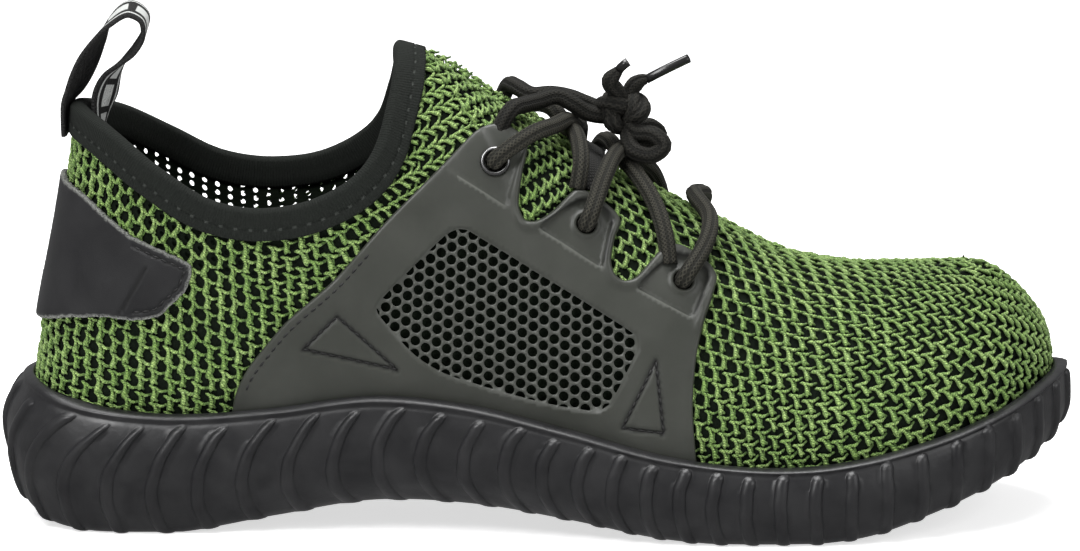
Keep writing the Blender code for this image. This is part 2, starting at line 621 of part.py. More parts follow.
# Chevron channels of the tread, each set to the depth under its own place
channels, channel_faces = [], []
channel_x = HEEL_CENTRE - 2.5 * LUG_PITCH - LUG_POINT
while channel_x < 0.80 * LENGTH:
    along = channel_x / LENGTH
    if along < 0.22 or along > 0.50:
        place = station(along)
        low = float(bottom_of(place))
        left = outline(place, LATERAL)[1] + LUG_MARGIN
        right = outline(place, MEDIAL)[1] - LUG_MARGIN
        middle = (left + right) / 2
        x = channel_x - HEEL_CENTRE
        base = len(channels)
        for y, dx in ((left, 0.0), (middle, LUG_POINT), (right, 0.0)):
            for ahead in (-LUG_CHANNEL / 2, LUG_CHANNEL / 2):
                channels += [(x + dx + ahead, y, low - LUG_DEPTH), (x + dx + ahead, y, low + LUG_DEPTH)]
        for a in (base, base + 4):
            channel_faces += [(a, a + 1, a + 5, a + 4), (a + 2, a + 6, a + 7, a + 3),
                              (a, a + 4, a + 6, a + 2), (a + 1, a + 3, a + 7, a + 5)]
        channel_faces += [(base, base + 2, base + 3, base + 1), (base + 8, base + 9, base + 11, base + 10)]
    channel_x += LUG_PITCH
boolean(sole, add_mesh("tread_channels", channels, channel_faces), "DIFFERENCE")
short_edges = sole.modifiers.new("short_edges", "WELD")
short_edges.merge_threshold = 0.06 * MM

# Insole: a plate on the cup floor, inside the upper
insole_rows = {}
insole_places = np.linspace(0.06, 0.94, 24)
for side in (LATERAL, MEDIAL):
    floor = smooth(SOLE_ROWS, FLOOR, insole_places) * SOLE_HEIGHT + CLEARANCE
    inset = FEATHER_INSET + WALL + 4 * CLEARANCE
    plan = outline(insole_places, side) - outward(insole_places, side) * inset
    insole_rows[side] = [high(plan, floor), high(plan, floor + INSOLE_THICKNESS)]
layer_solid(
    "insole",
    np.stack([insole_rows[LATERAL][0], insole_rows[MEDIAL][0]], 1),
    np.stack([insole_rows[LATERAL][1], insole_rows[MEDIAL][1]], 1),
    FOAM,
)


# Moulded side panels: layers off the upper's own face, cut to the outline, the window and the tabs
panel_places = np.linspace(station(0.17), station(0.74), PANEL_COLUMNS)


def panel_grid(side, distance, whole):
    """Grid off the upper's face: a whole panel, or one above the lip for its window."""
    grid = []
    for place in panel_places:
        lip = float(smooth(SOLE_ROWS, LIP[side > 0], place)) * SOLE_HEIGHT
        first = level_at(place, side, lip - PANEL_TUCK if whole else lip)
        levels = np.linspace(first, 0.97, PANEL_LEVELS)
        grid.append(upper_offset(place, side, levels, distance))
    return np.array(grid)


for side, word in ((LATERAL, "lateral"), (MEDIAL, "medial")):
    edge = (BALL_WIDTH * side, 0.0) if side < 0 else (0.0, BALL_WIDTH)
    panel = layer_solid(
        "panel_" + word,
        panel_grid(side, PANEL_GAP, True),
        panel_grid(side, PANEL_GAP + PANEL_THICKNESS, True),
        PANEL,
    )
    boolean(panel, prisms("panel_outline_" + word, [PANEL_OUTLINE], *edge), "INTERSECT")
    holes, hole_faces = [], []
    for number, (x, z) in enumerate(EYELETS):
        place, level = place_at(x * LENGTH - HEEL_CENTRE, z * COLLAR_HEIGHT, side)
        seat = upper_offset(place, side, level, 0.0)
        axis = upper_offset(place, side, level, 1.0) - seat
        across = np.cross(axis, (0.0, 0.0, 1.0))
        across /= np.linalg.norm(across)
        rise = np.cross(across, axis)
        turns = np.linspace(0, 2 * math.pi, 14, endpoint=False)
        circle = np.cos(turns)[:, None] * across + np.sin(turns)[:, None] * rise
        start = len(holes)
        for depth in (-PANEL_THICKNESS, 3 * PANEL_THICKNESS):
            holes += list(seat + axis * depth + circle * EYELET_HOLE / 2)
        for k in range(14):
            m = (k + 1) % 14
            hole_faces.append((start + k, start + m, start + 14 + m, start + 14 + k))
        hole_faces += [tuple(range(start, start + 14)), tuple(reversed(range(start + 14, start + 28)))]
        if number == 0:
            low = PANEL_GAP + PANEL_THICKNESS + 3.5 * CLEARANCE
            top = low + RING_THICKNESS
            section = ((EYELET_HOLE, low), (EYELET_RING, low), (EYELET_RING - RING_THICKNESS, top),
                       (EYELET_HOLE + RING_THICKNESS, top))
            ring = [seat + axis * lift + circle * wide / 2 for wide, lift in section]
            ring = np.stack(ring, 1)
            faces = []
            for i in range(14):
                near, far = 4 * i, 4 * ((i + 1) % 14)
                faces += [(near + k, near + (k + 1) % 4, far + (k + 1) % 4, far + k) for k in range(4)]
            add_mesh("eyelet_ring_" + word, ring.reshape(-1, 3), faces, METAL)
    boolean(panel, add_mesh("eyelet_holes_" + word, holes, hole_faces), "DIFFERENCE")
    recess = layer_solid(
        "recess_" + word,
        panel_grid(side, PANEL_GAP + PANEL_THICKNESS - PANEL_RECESS, False),
        panel_grid(side, PANEL_GAP + PANEL_THICKNESS + 2 * CLEARANCE, False),
    )
    boolean(recess, prisms("fields_" + word, [WINDOW_OUTLINE], *edge), "INTERSECT")
    boolean(panel, recess, "DIFFERENCE")

# Heel counter: one leather piece round the back, with a slot at its middle
counter_places = upper_places[upper_places < station(0.23)]
counter_columns = [(p, MEDIAL) for p in counter_places[::-1]] + [(p, LATERAL) for p in counter_places[1:]]


def counter_grid(distance):
    grid = []
    for place, side in counter_columns:
        ends = [level_at(place, side, z * COLLAR_HEIGHT) for z in (0.38, 0.79)]
        grid.append(upper_offset(place, side, np.linspace(*ends, 6), distance))
    return np.array(grid)


counter = layer_solid(
    "heel_counter", counter_grid(COUNTER_GAP), counter_grid(COUNTER_GAP + COUNTER_THICKNESS), LEATHER
)
boolean(counter, prisms("counter_outline", [COUNTER_OUTLINE], -BALL_WIDTH, BALL_WIDTH), "INTERSECT")
slot_wide, slot_tall = COUNTER_SLOT
slot_table = ((-0.05, 0.0), (0.10, 0.0), (0.10, 1.0), (-0.05, 1.0))
slot_low = 0.578 * COLLAR_HEIGHT - slot_tall / 2
slot_table = tuple((x, (slot_low + z * slot_tall) / COLLAR_HEIGHT) for x, z in slot_table)
boolean(counter, prisms("counter_slot", [slot_table], -slot_wide / 2, slot_wide / 2), "DIFFERENCE")

# Collar binding: a tape folded over the rim, laid on the skin at both sides
rim = [(p, LATERAL) for p in upper_places[UPPER_FRONT:0:-1]]
rim += [(p, MEDIAL) for p in upper_places[:UPPER_FRONT]]
rim_points = [Vector(upper_point(p, s, 1.0)) for p, s in rim]
band_out, band_in = CLEARANCE + BINDING_THICKNESS, -WALL - CLEARANCE - BINDING_THICKNESS
band_top = CLEARANCE + BINDING_THICKNESS
band_section = (
    (band_out, 1.0), (band_out, 0.5), (band_out, 0.0), (band_out / 2, -1.0),
    (band_in - band_out / 2, -1.0), (band_in, 0.0), (band_in, 0.5), (band_in, 1.0),
)
band_points = []
rim_moves = {}
for i, point in enumerate(rim_points):
    tangent = (rim_points[(i + 1) % len(rim)] - rim_points[i - 1]).normalized()
    normal = skin_near(point)[1]
    inward = tangent.cross(normal).normalized()
    if skin_near(point + inward * BINDING_WIDTH)[2] > skin_near(point - inward * BINDING_WIDTH)[2]:
        inward = -inward
    rim_moves[i] = -inward * CLEARANCE
    for lift, share in band_section:
        if share < 0:
            band_points.append(point + inward * band_top * share + normal * lift)
            continue
        place, out, _ = skin_near(point + inward * BINDING_WIDTH * share)
        band_points.append(place + out * lift)
section = len(band_section)
band_faces = [
    (section * i + k, section * i + (k + 1) % section,
     section * ((i + 1) % len(rim)) + (k + 1) % section, section * ((i + 1) % len(rim)) + k)
    for i in range(len(rim)) for k in range(section)
]
binding = add_mesh("collar_binding", band_points, band_faces, TAPE)
seat_mesh = upper.data.copy()
for vertex, source in zip(seat_mesh.vertices, upper.data.vertices):
    moved = source.co + source.normal * CLEARANCE
    for i, point in enumerate(rim_points):
        if (source.co - point).length < 1e-6:
            moved = moved + rim_moves[i]
    vertex.co = moved
seat = bpy.data.objects.new("binding_seat", seat_mesh)
CUTTERS.objects.link(seat)
seat.hide_render = True
seat.display_type = "WIRE"
thick = seat.modifiers.new("wall", "SOLIDIFY")
thick.thickness = WALL + 2 * CLEARANCE
thick.offset = -1
boolean(binding, seat, "DIFFERENCE")


# Laces, laid over the instep by dropping each row onto the skin
def on_skin(rows):
    placed = []
    for x, y, lift in rows:
        start = Vector((x * LENGTH - HEEL_CENTRE, y * BALL_WIDTH, 2 * COLLAR_HEIGHT))
        hit, normal = skin.ray_cast(start, Vector((0, 0, -1)))[:2]
        placed.append(hit + normal * min(lift, 1) * LACE + Vector((0, 0, 1)) * max(lift - 1, 0) * LACE)
    return [tuple(p) for p in placed]


def keeper_grid(lift):
    low, top, across = KEEPER
    return np.array([
        on_skin([(x, y, lift / LACE) for y in np.linspace(-across, across, 11)])
        for x in np.linspace(low, top, 4)
    ])


keeper_low = 2.8 * CLEARANCE
layer_solid("lace_keeper", keeper_grid(keeper_low), keeper_grid(keeper_low + KEEPER_THICKNESS), WEBBING)
tube("lace_bar", curve_through(on_skin(BAR_PATH), 15), LACE / 2, CORD)
for word, pair in (("low", LOW_CROSS), ("high", HIGH_CROSS)):
    strands = [curve_through(on_skin(rows), 12) for rows in pair]
    cross = tube("lace_cross_" + word, strands[0], LACE / 2, CORD)
    boolean(cross, tube("lace_over_" + word, strands[1], LACE / 2, None), "UNION")
for word, rows in zip(("near", "far"), LEADS):
    tube("lace_lead_" + word, curve_through(on_skin(rows), 10), LACE / 2, CORD)
for word, rows in zip(("near", "far"), LOOPS):
    tube("lace_loop_" + word, curve_through(at_shares(rows), 10), LACE / 2, CORD)
tube("lace_end_short", curve_through(at_shares(SHORT_END), 6), LACE / 2, CORD)
tube("aglet_short", at_shares(SHORT_AGLET), AGLET / 2, PLASTIC)
tube("lace_end_long", curve_through(at_shares(LONG_END), 4), LACE / 2, CORD)
tube("aglet_long", at_shares(LONG_AGLET), AGLET / 2, PLASTIC)

# Knot: a wound lump
knot_points, knot_faces = [], []
knot_centre = at_shares([KNOT_PLACE])[0]
KNOT_RINGS, KNOT_SIDES = 8, 12
for i in range(KNOT_RINGS):
    polar = math.pi * (i + 0.5) / KNOT_RINGS
    for k in range(KNOT_SIDES):
        turn = 2 * math.pi * k / KNOT_SIDES
        swell = 1 + 0.10 * math.cos(3 * turn + 2.4 * polar)
        shape = (math.cos(polar), math.sin(polar) * math.cos(turn), math.sin(polar) * math.sin(turn))
        knot_points.append(knot_centre + np.array(shape) * np.array(KNOT_SIZE) * swell)
for i in range(KNOT_RINGS - 1):
    for k in range(KNOT_SIDES):
        m = (k + 1) % KNOT_SIDES
        low, top = i * KNOT_SIDES, (i + 1) * KNOT_SIDES
        knot_faces.append((low + k, low + m, top + m, top + k))
knot_faces += [tuple(range(KNOT_SIDES)), tuple(range(top, top + KNOT_SIDES))]
add_mesh("lace_knot", knot_points, knot_faces, CORD)

# Pull loop: a tape sewn outside and inside the back of the collar
pull = curve_through([(*at_shares([row])[0], math.radians(row[3])) for row in PULL_ROWS], 26)
run, _, _ = frames(pull[:, :3])
pull_points = []
for point, direction, turn in zip(pull[:, :3], run, pull[:, 3]):
    wide = np.array((0.0, 1.0, 0.0)) * math.cos(turn) + np.cross(direction, (0.0, 1.0, 0.0)) * math.sin(turn)
    thick = np.cross(direction, wide)
    for a, b in ((-1, -1), (1, -1), (1, 1), (-1, 1)):
        pull_points.append(point + wide * a * LOOP_WIDTH / 2 + thick * b * LOOP_THICKNESS / 2)
pull_faces = [(4 * i + k, 4 * i + (k + 1) % 4, 4 * i + 4 + (k + 1) % 4, 4 * i + 4 + k)
              for i in range(len(pull) - 1) for k in range(4)]
pull_faces += [(0, 1, 2, 3), tuple(4 * (len(pull) - 1) + k for k in (3, 2, 1, 0))]
add_mesh("pull_loop", pull_points, pull_faces, WEBBING)
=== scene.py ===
import math

import bmesh
import bpy
import numpy as np
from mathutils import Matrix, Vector, geometry
from mathutils.bvhtree import BVHTree


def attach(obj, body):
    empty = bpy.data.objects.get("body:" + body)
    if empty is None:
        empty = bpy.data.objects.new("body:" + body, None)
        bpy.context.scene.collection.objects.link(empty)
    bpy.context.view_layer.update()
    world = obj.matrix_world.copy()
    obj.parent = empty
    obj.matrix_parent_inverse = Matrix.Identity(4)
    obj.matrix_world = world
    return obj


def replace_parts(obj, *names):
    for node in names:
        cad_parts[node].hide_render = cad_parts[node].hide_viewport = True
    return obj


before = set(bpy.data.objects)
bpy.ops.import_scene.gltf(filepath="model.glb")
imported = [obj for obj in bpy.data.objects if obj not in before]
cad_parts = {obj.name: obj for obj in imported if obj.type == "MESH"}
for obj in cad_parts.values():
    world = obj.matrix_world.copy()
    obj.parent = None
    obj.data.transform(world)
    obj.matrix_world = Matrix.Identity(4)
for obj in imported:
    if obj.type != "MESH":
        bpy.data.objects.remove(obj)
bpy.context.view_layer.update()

random = np.random.default_rng(7)

MM = 0.001
LATERAL, MEDIAL = -1, 1
SIDES = ((LATERAL, "lateral"), (MEDIAL, "medial"))

# Overall sizes
LENGTH = 300 * MM
BALL_WIDTH = 107 * MM
SOLE_HEIGHT = 41.5 * MM
COLLAR_HEIGHT = 133.5 * MM
HEEL_CENTRE = 38 * MM
FEATHER_INSET = 8.5 * MM

# Clearances and walls
CLEARANCE = 0.3 * MM
WALL = 2.2 * MM
PANEL_GAP = 0.55 * MM
PANEL_THICKNESS = 1.4 * MM
PANEL_TUCK = 3.0 * MM
LIP_DEPTH = 5.0 * MM
LIP_LEAST = 1.6 * MM
COUNTER_GAP = 0.4 * MM
COUNTER_THICKNESS = 1.7 * MM
COUNTER_SLOT = (8.0 * MM, 17.0 * MM)
INSOLE_THICKNESS = 4.0 * MM
BINDING_WIDTH = 7.5 * MM
BINDING_THICKNESS = 1.0 * MM

# Sole side and tread
RIB_HEIGHT = 1.2 * MM
LUG_DEPTH = 2.6 * MM
LUG_CHANNEL = 3.2 * MM
LUG_PITCH = 11.5 * MM
LUG_POINT = 7.0 * MM

# Lacing
LACE = 4.8 * MM
AGLET = 2.6 * MM
EYELET_HOLE = 5.5 * MM
EYELET_RING = 8.4 * MM
KEEPER_THICKNESS = 0.6 * MM
LOOP_WIDTH = 14.0 * MM
LOOP_THICKNESS = 1.6 * MM

# Where the collar closes over the instep, as a share of LENGTH
COLLAR_FRONT = 0.515

# along LENGTH | half widths, lateral and medial, of BALL_WIDTH | lip heights, lateral and medial, bottom height
# and cup floor, of SOLE_HEIGHT | lip lean and bottom tuck, of FEATHER_INSET | panel room, of WALL
SOLE_ROWS = np.array([
    (0.000, 0.000, 0.000, 0.970, 0.970, 0.450, 0.560, 0.75, 0.30, 0.0),
    (0.010, 0.165, 0.160, 0.960, 0.960, 0.170, 0.560, 0.75, 0.35, 0.0),
    (0.035, 0.275, 0.268, 0.920, 0.940, 0.050, 0.555, 0.70, 0.40, 0.0),
    (0.085, 0.345, 0.330, 0.850, 0.890, 0.000, 0.550, 0.62, 0.40, 0.0),
    (0.170, 0.368, 0.346, 0.810, 0.860, 0.000, 0.545, 0.50, 0.55, 0.7),
    (0.260, 0.372, 0.335, 0.860, 0.930, 0.100, 0.540, 0.40, 1.00, 0.9),
    (0.350, 0.380, 0.322, 0.945, 1.020, 0.190, 0.530, 0.30, 1.40, 0.9),
    (0.430, 0.405, 0.340, 0.900, 0.990, 0.180, 0.480, 0.25, 1.40, 0.9),
    (0.520, 0.450, 0.395, 0.760, 0.840, 0.110, 0.400, 0.25, 1.10, 0.9),
    (0.610, 0.492, 0.455, 0.600, 0.650, 0.020, 0.335, 0.30, 0.70, 0.9),
    (0.655, 0.503, 0.478, 0.550, 0.590, 0.000, 0.320, 0.35, 0.55, 0.9),
    (0.760, 0.495, 0.490, 0.525, 0.550, 0.000, 0.325, 0.40, 0.45, 0.0),
    (0.800, 0.475, 0.485, 0.560, 0.580, 0.030, 0.345, 0.38, 0.40, 0.0),
    (0.870, 0.400, 0.440, 0.660, 0.670, 0.160, 0.420, 0.30, 0.35, 0.0),
    (0.935, 0.275, 0.355, 0.800, 0.800, 0.320, 0.530, 0.18, 0.30, 0.0),
    (0.980, 0.095, 0.225, 0.920, 0.920, 0.460, 0.620, 0.10, 0.30, 0.0),
    (1.000, -0.090, 0.090, 0.980, 0.980, 0.580, 0.660, 0.08, 0.30, 0.0),
])
HALF, LIP, BOTTOM, FLOOR, LEAN, UNDER, ROOM = (1, 2), (3, 4), 5, 6, 7, 8, 9

# along LENGTH | top edge: along LENGTH, lateral and medial across BALL_WIDTH, lateral and medial
# up COLLAR_HEIGHT | outward bulge, lower and upper pull of the side, and drop, as shares of the section
UPPER_ROWS = np.array([
    (0.000, 0.068, 0.000, 0.000, 0.860, 0.860, 0.06, 0.35, 0.20, 0.40),
    (0.035, 0.080, 0.110, 0.110, 0.850, 0.850, 0.06, 0.35, 0.20, 0.40),
    (0.085, 0.107, 0.205, 0.205, 0.818, 0.826, 0.06, 0.35, 0.20, 0.40),
    (0.150, 0.152, 0.275, 0.275, 0.748, 0.770, 0.05, 0.35, 0.20, 0.40),
    (0.205, 0.200, 0.292, 0.290, 0.685, 0.718, 0.05, 0.35, 0.20, 0.40),
    (0.260, 0.250, 0.290, 0.288, 0.668, 0.704, 0.05, 0.35, 0.20, 0.40),
    (0.310, 0.297, 0.282, 0.280, 0.688, 0.720, 0.05, 0.35, 0.20, 0.40),
    (0.355, 0.335, 0.262, 0.265, 0.735, 0.765, 0.05, 0.35, 0.25, 0.35),
    (0.400, 0.358, 0.225, 0.235, 0.805, 0.825, 0.04, 0.35, 0.35, 0.30),
    (0.440, 0.367, 0.165, 0.180, 0.885, 0.895, 0.03, 0.35, 0.45, 0.22),
    (0.480, 0.371, 0.080, 0.100, 0.960, 0.965, 0.02, 0.35, 0.55, 0.12),
    (0.515, 0.372, -0.015, 0.015, 0.985, 0.985, 0.00, 0.35, 0.62, 0.05),
    (0.570, 0.430, -0.030, 0.030, 0.905, 0.905, 0.00, 0.33, 0.62, 0.02),
    (0.630, 0.525, -0.038, 0.038, 0.775, 0.775, 0.02, 0.33, 0.62, 0.01),
    (0.690, 0.620, -0.045, 0.045, 0.660, 0.660, 0.08, 0.35, 0.62, 0.01),
    (0.750, 0.710, -0.052, 0.052, 0.567, 0.567, 0.16, 0.40, 0.64, 0.01),
    (0.810, 0.787, -0.058, 0.058, 0.526, 0.526, 0.26, 0.44, 0.68, 0.01),
    (0.870, 0.840, -0.064, 0.064, 0.520, 0.520, 0.38, 0.46, 0.72, 0.01),
    (0.935, 0.880, -0.070, 0.070, 0.522, 0.522, 0.52, 0.46, 0.76, 0.01),
    (1.000, 0.900, -0.074, 0.074, 0.522, 0.522, 0.60, 0.46, 0.78, 0.01),
])
TOP_ALONG, TOP_ACROSS, TOP_UP, BULGE, SIDE, CROWN, DROP = 1, (2, 3), (4, 5), 6, 7, 8, 9

# Rib spacing, slant and bow along the sole's outline: share of the outline | each as a share of LENGTH
RIB_ROWS = np.array([
    (0.00, 0.0400, 0.059, 0.149),
    (0.10, 0.0400, 0.055, 0.140),
    (0.17, 0.0400, 0.027, 0.087),
    (0.30, 0.0400, 0.020, 0.100),
    (0.40, 0.0380, 0.010, 0.091),
    (0.50, 0.0310, 0.003, 0.069),
    (0.60, 0.0290, -0.001, 0.038),
    (0.75, 0.0345, 0.000, 0.008),
    (1.00, 0.0400, 0.000, 0.000),
])
RIB_PITCH, RIB_SLANT, RIB_BOW = 1, 2, 3

# Side view of the moulded panel: along LENGTH, up COLLAR_HEIGHT
PANEL_OUTLINE = (
    (0.215, 0.10), (0.219, 0.272), (0.229, 0.332), (0.246, 0.385), (0.269, 0.445), (0.313, 0.532),
    (0.357, 0.642), (0.404, 0.743), (0.437, 0.817), (0.450, 0.836), (0.464, 0.838), (0.478, 0.822),
    (0.488, 0.790), (0.485, 0.747), (0.482, 0.683), (0.488, 0.653), (0.498, 0.651), (0.513, 0.670),
    (0.532, 0.705), (0.543, 0.700), (0.564, 0.668), (0.574, 0.641), (0.569, 0.609), (0.566, 0.568),
    (0.570, 0.542), (0.579, 0.530), (0.589, 0.536), (0.611, 0.583), (0.621, 0.590), (0.632, 0.585),
    (0.656, 0.549), (0.663, 0.523), (0.650, 0.437), (0.644, 0.376), (0.641, 0.280), (0.644, 0.183),
    (0.646, 0.10),
)
WINDOW_OUTLINE = (
    (0.426, 0.635), (0.437, 0.632), (0.588, 0.428), (0.591, 0.395), (0.567, 0.285), (0.554, 0.267),
    (0.503, 0.282), (0.416, 0.334), (0.386, 0.373), (0.354, 0.451), (0.350, 0.472), (0.357, 0.497),
    (0.413, 0.620),
)
EYELETS = ((0.4604, 0.765), (0.5430, 0.640), (0.6316, 0.524))
COUNTER_OUTLINE = (
    (-0.02, 0.765), (0.052, 0.750), (0.064, 0.713), (0.084, 0.691), (0.125, 0.623), (0.146, 0.601),
    (0.182, 0.562), (0.177, 0.511), (0.162, 0.476), (0.151, 0.453), (0.127, 0.444), (0.102, 0.448),
    (0.070, 0.440), (-0.02, 0.405),
)

# Lace paths over the instep: along LENGTH, across BALL_WIDTH, lift of the lace's middle in LACE.
# The keeper is a band: its two edges along LENGTH and its half width in BALL_WIDTH
BAR_PATH = (
    (0.6316, -0.285, 1.05), (0.648, -0.205, 1.05), (0.652, -0.120, 0.95), (0.642, -0.020, 0.80),
    (0.640, 0.060, 0.80), (0.650, 0.150, 0.95), (0.648, 0.225, 1.05), (0.6316, 0.285, 1.05),
)
LOW_CROSS = (
    ((0.612, -0.215, 0.68), (0.603, -0.160, 0.70), (0.585, -0.080, 0.74), (0.570, 0.000, 0.86),
     (0.560, 0.090, 0.98), (0.552, 0.180, 1.02), (0.543, 0.255, 1.15)),
    ((0.612, 0.215, 0.68), (0.603, 0.160, 0.72), (0.586, 0.080, 0.95), (0.572, 0.000, 1.25),
     (0.562, -0.090, 1.08), (0.553, -0.180, 1.02), (0.543, -0.255, 1.15)),
)
HIGH_CROSS = (
    ((0.533, -0.170, 0.86), (0.531, -0.120, 0.84), (0.527, -0.060, 0.80), (0.520, 0.020, 0.78),
     (0.505, 0.120, 0.80), (0.486, 0.192, 1.80), (0.4670, 0.209, 2.70)),
    ((0.533, 0.170, 0.86), (0.531, 0.120, 0.86), (0.527, 0.060, 0.95), (0.520, -0.020, 1.15),
     (0.505, -0.120, 0.95), (0.484, -0.195, 1.45), (0.4604, -0.215, 2.20)),
)
LEADS = (
    ((0.469, -0.135, 0.72), (0.480, -0.090, 0.78), (0.491, -0.050, 1.20), (0.508, -0.035, 2.15),
     (0.524, -0.032, 2.30), (0.5355, -0.020, 2.25)),
    ((0.466, 0.135, 0.72), (0.473, 0.080, 0.90), (0.486, 0.045, 1.50), (0.506, 0.035, 2.30),
     (0.524, 0.032, 2.70), (0.5350, 0.030, 2.80)),
)
KEEPER = (0.534, 0.560, 0.200)

# Free lace: along LENGTH, across BALL_WIDTH, up COLLAR_HEIGHT
KNOT_PLACE = (0.578, 0.010, 0.845)
KNOT_SIZE = (8.5 * MM, 6.5 * MM, 6.0 * MM)
LOOPS = (
    ((0.592, -0.040, 0.805), (0.609, -0.075, 0.803), (0.616, -0.085, 0.785), (0.606, -0.090, 0.765),
     (0.592, -0.080, 0.768)),
    ((0.590, 0.070, 0.805), (0.607, 0.100, 0.800), (0.613, 0.110, 0.785), (0.604, 0.120, 0.770),
     (0.591, 0.115, 0.775)),
)
SHORT_END = ((0.572, -0.020, 0.893), (0.566, -0.036, 0.912), (0.573, -0.045, 0.935))
SHORT_AGLET = ((0.5742, -0.0458, 0.938), (0.583, -0.052, 0.957))
LONG_END = ((0.590, 0.020, 0.901), (0.598, 0.022, 0.911))
LONG_AGLET = ((0.6008, 0.0225, 0.9115), (0.640, 0.030, 0.955))


def station(along):
    """Even steps of a station crowd towards the two tips, as the outline turns there."""
    return np.arccos(1 - 2 * np.asarray(along, float)) / math.pi


def along_of(place):
    return (1 - np.cos(math.pi * np.asarray(place, float))) / 2


def unit(vectors):
    return vectors / np.linalg.norm(vectors, axis=-1, keepdims=True)


def lengths_along(path):
    """Distance from a path's first point to each of its points."""
    return np.concatenate([[0], np.cumsum(np.linalg.norm(np.diff(path, axis=0), axis=1))])


def read_off(path, at, want):
    """Points of a path at the wanted distances along it."""
    return np.stack([np.interp(want, at, path[:, c]) for c in range(3)], -1)


def smooth(rows, column, place, first=None):
    """A smooth curve through one column of a table, at the given stations."""
    at = station(rows[:, 0]) if first is None else first
    value = rows[:, column]
    step = np.diff(at)
    rise = np.diff(value) / step
    slope = np.empty_like(value)
    slope[1:-1] = (rise[:-1] * step[1:] + rise[1:] * step[:-1]) / (step[:-1] + step[1:])
    slope[0] = 1.5 * rise[0] - 0.5 * slope[1]
    slope[-1] = 1.5 * rise[-1] - 0.5 * slope[-2]
    place = np.clip(np.asarray(place, float), 0, 1)
    low = np.clip(np.searchsorted(at, place, side="right") - 1, 0, len(at) - 2)
    width = at[low + 1] - at[low]
    part = (place - at[low]) / width
    return (
        (1 + 2 * part) * (1 - part) ** 2 * value[low]
        + part * (1 - part) ** 2 * width * slope[low]
        + part**2 * (3 - 2 * part) * value[low + 1]
        + part**2 * (part - 1) * width * slope[low + 1]
    )


def outline(place, side):
    """Plan point of the sole's widest line."""
    across = smooth(SOLE_ROWS, HALF[side > 0], place) * BALL_WIDTH * side
    return np.stack([along_of(place) * LENGTH - HEEL_CENTRE, across], -1)


def outward(place, side):
    """Plan direction away from the foot."""
    place = np.asarray(place, float)
    ahead = outline(np.clip(place + 1e-4, 0, 1), side)
    behind = outline(np.clip(place - 1e-4, 0, 1), side)
    run = ahead - behind
    turn = unit(np.stack([run[..., 1] * -side, run[..., 0] * side], -1))
    tip = (place <= 1e-6) | (place >= 1 - 1e-6)
    straight = np.stack([np.where(place > 0.5, 1.0, -1.0), np.zeros_like(place)], -1)
    return np.where(tip[..., None], straight, turn)


def high(value, height=None):
    """A plan direction or point with a height."""
    height = np.zeros(value.shape[:-1]) if height is None else height
    return np.concatenate([value, np.asarray(height)[..., None]], -1)


def upper_point(place, side, level):
    """Point of the upper's outer face: level 0 at the cup floor and 1 at the collar or the ridge."""
    place, level = np.broadcast_arrays(np.asarray(place, float), np.asarray(level, float))
    floor = smooth(SOLE_ROWS, FLOOR, place) * SOLE_HEIGHT + CLEARANCE
    away = outward(place, side)
    foot = high(outline(place, side) - away * FEATHER_INSET, floor)
    across = [smooth(UPPER_ROWS, TOP_ACROSS[s > 0], place) * BALL_WIDTH * s for s in (LATERAL, MEDIAL)]
    up = [smooth(UPPER_ROWS, TOP_UP[s > 0], place) * COLLAR_HEIGHT for s in (LATERAL, MEDIAL)]
    closed = place >= station(COLLAR_FRONT) - 1e-9
    top = np.stack(
        [
            smooth(UPPER_ROWS, TOP_ALONG, place) * LENGTH - HEEL_CENTRE,
            np.where(closed, (across[0] + across[1]) / 2, across[side > 0]),
            np.where(closed, (up[0] + up[1]) / 2, up[side > 0]),
        ],
        -1,
    )
    bulge, lower, crown, drop = (smooth(UPPER_ROWS, c, place)[..., None] for c in (BULGE, SIDE, CROWN, DROP))
    height = (top - foot)[..., 2:]
    rise = np.array((0.0, 0.0, 1.0))
    low = foot + lower * height * (rise + bulge * high(away))
    near = top + crown * (foot - top) * np.array((1.0, 1.0, 0.0)) - drop * height * rise
    v = level[..., None]
    return (1 - v) ** 3 * foot + 3 * v * (1 - v) ** 2 * low + 3 * v**2 * (1 - v) * near + v**3 * top


def level_at(place, side, height):
    """Level of the upper's face at a height, for one station."""
    levels = np.linspace(0, 1, 80)
    return float(np.interp(height, upper_point(np.full(80, place), side, levels)[:, 2], levels))


def frames(path):
    """Direction and two crosswise directions along a path, without twist."""
    path = np.asarray(path, float)
    run = unit(np.gradient(path, axis=0))
    side = np.cross(run[0], (0.0, 0.3, 1.0))
    sides = []
    for direction in run:
        side = side - direction * np.dot(side, direction)
        side = side / np.linalg.norm(side)
        sides.append(side)
    sides = np.array(sides)
    return run, sides, np.cross(run, sides)


def curve_through(rows, steps):
    """Points at even steps along a smooth curve through the rows."""
    rows = np.asarray(rows, float)
    gaps = np.linalg.norm(np.diff(rows[:, :3], axis=0), axis=1)
    at = np.concatenate([[0], np.cumsum(gaps)]) / gaps.sum()
    want = np.linspace(0, 1, steps)
    return np.stack([smooth(rows, c, want, at) for c in range(rows.shape[1])], -1)


def at_shares(rows):
    """Points in metres from shares along, across and up."""
    scale = np.array((LENGTH, BALL_WIDTH, COLLAR_HEIGHT))
    return np.asarray(rows, float)[:, :3] * scale - np.array((HEEL_CENTRE, 0.0, 0.0))


def in_metres(table):
    """Side view points in metres from shares of LENGTH and COLLAR_HEIGHT."""
    return np.asarray(table, float) * (LENGTH, COLLAR_HEIGHT) - (HEEL_CENTRE, 0.0)


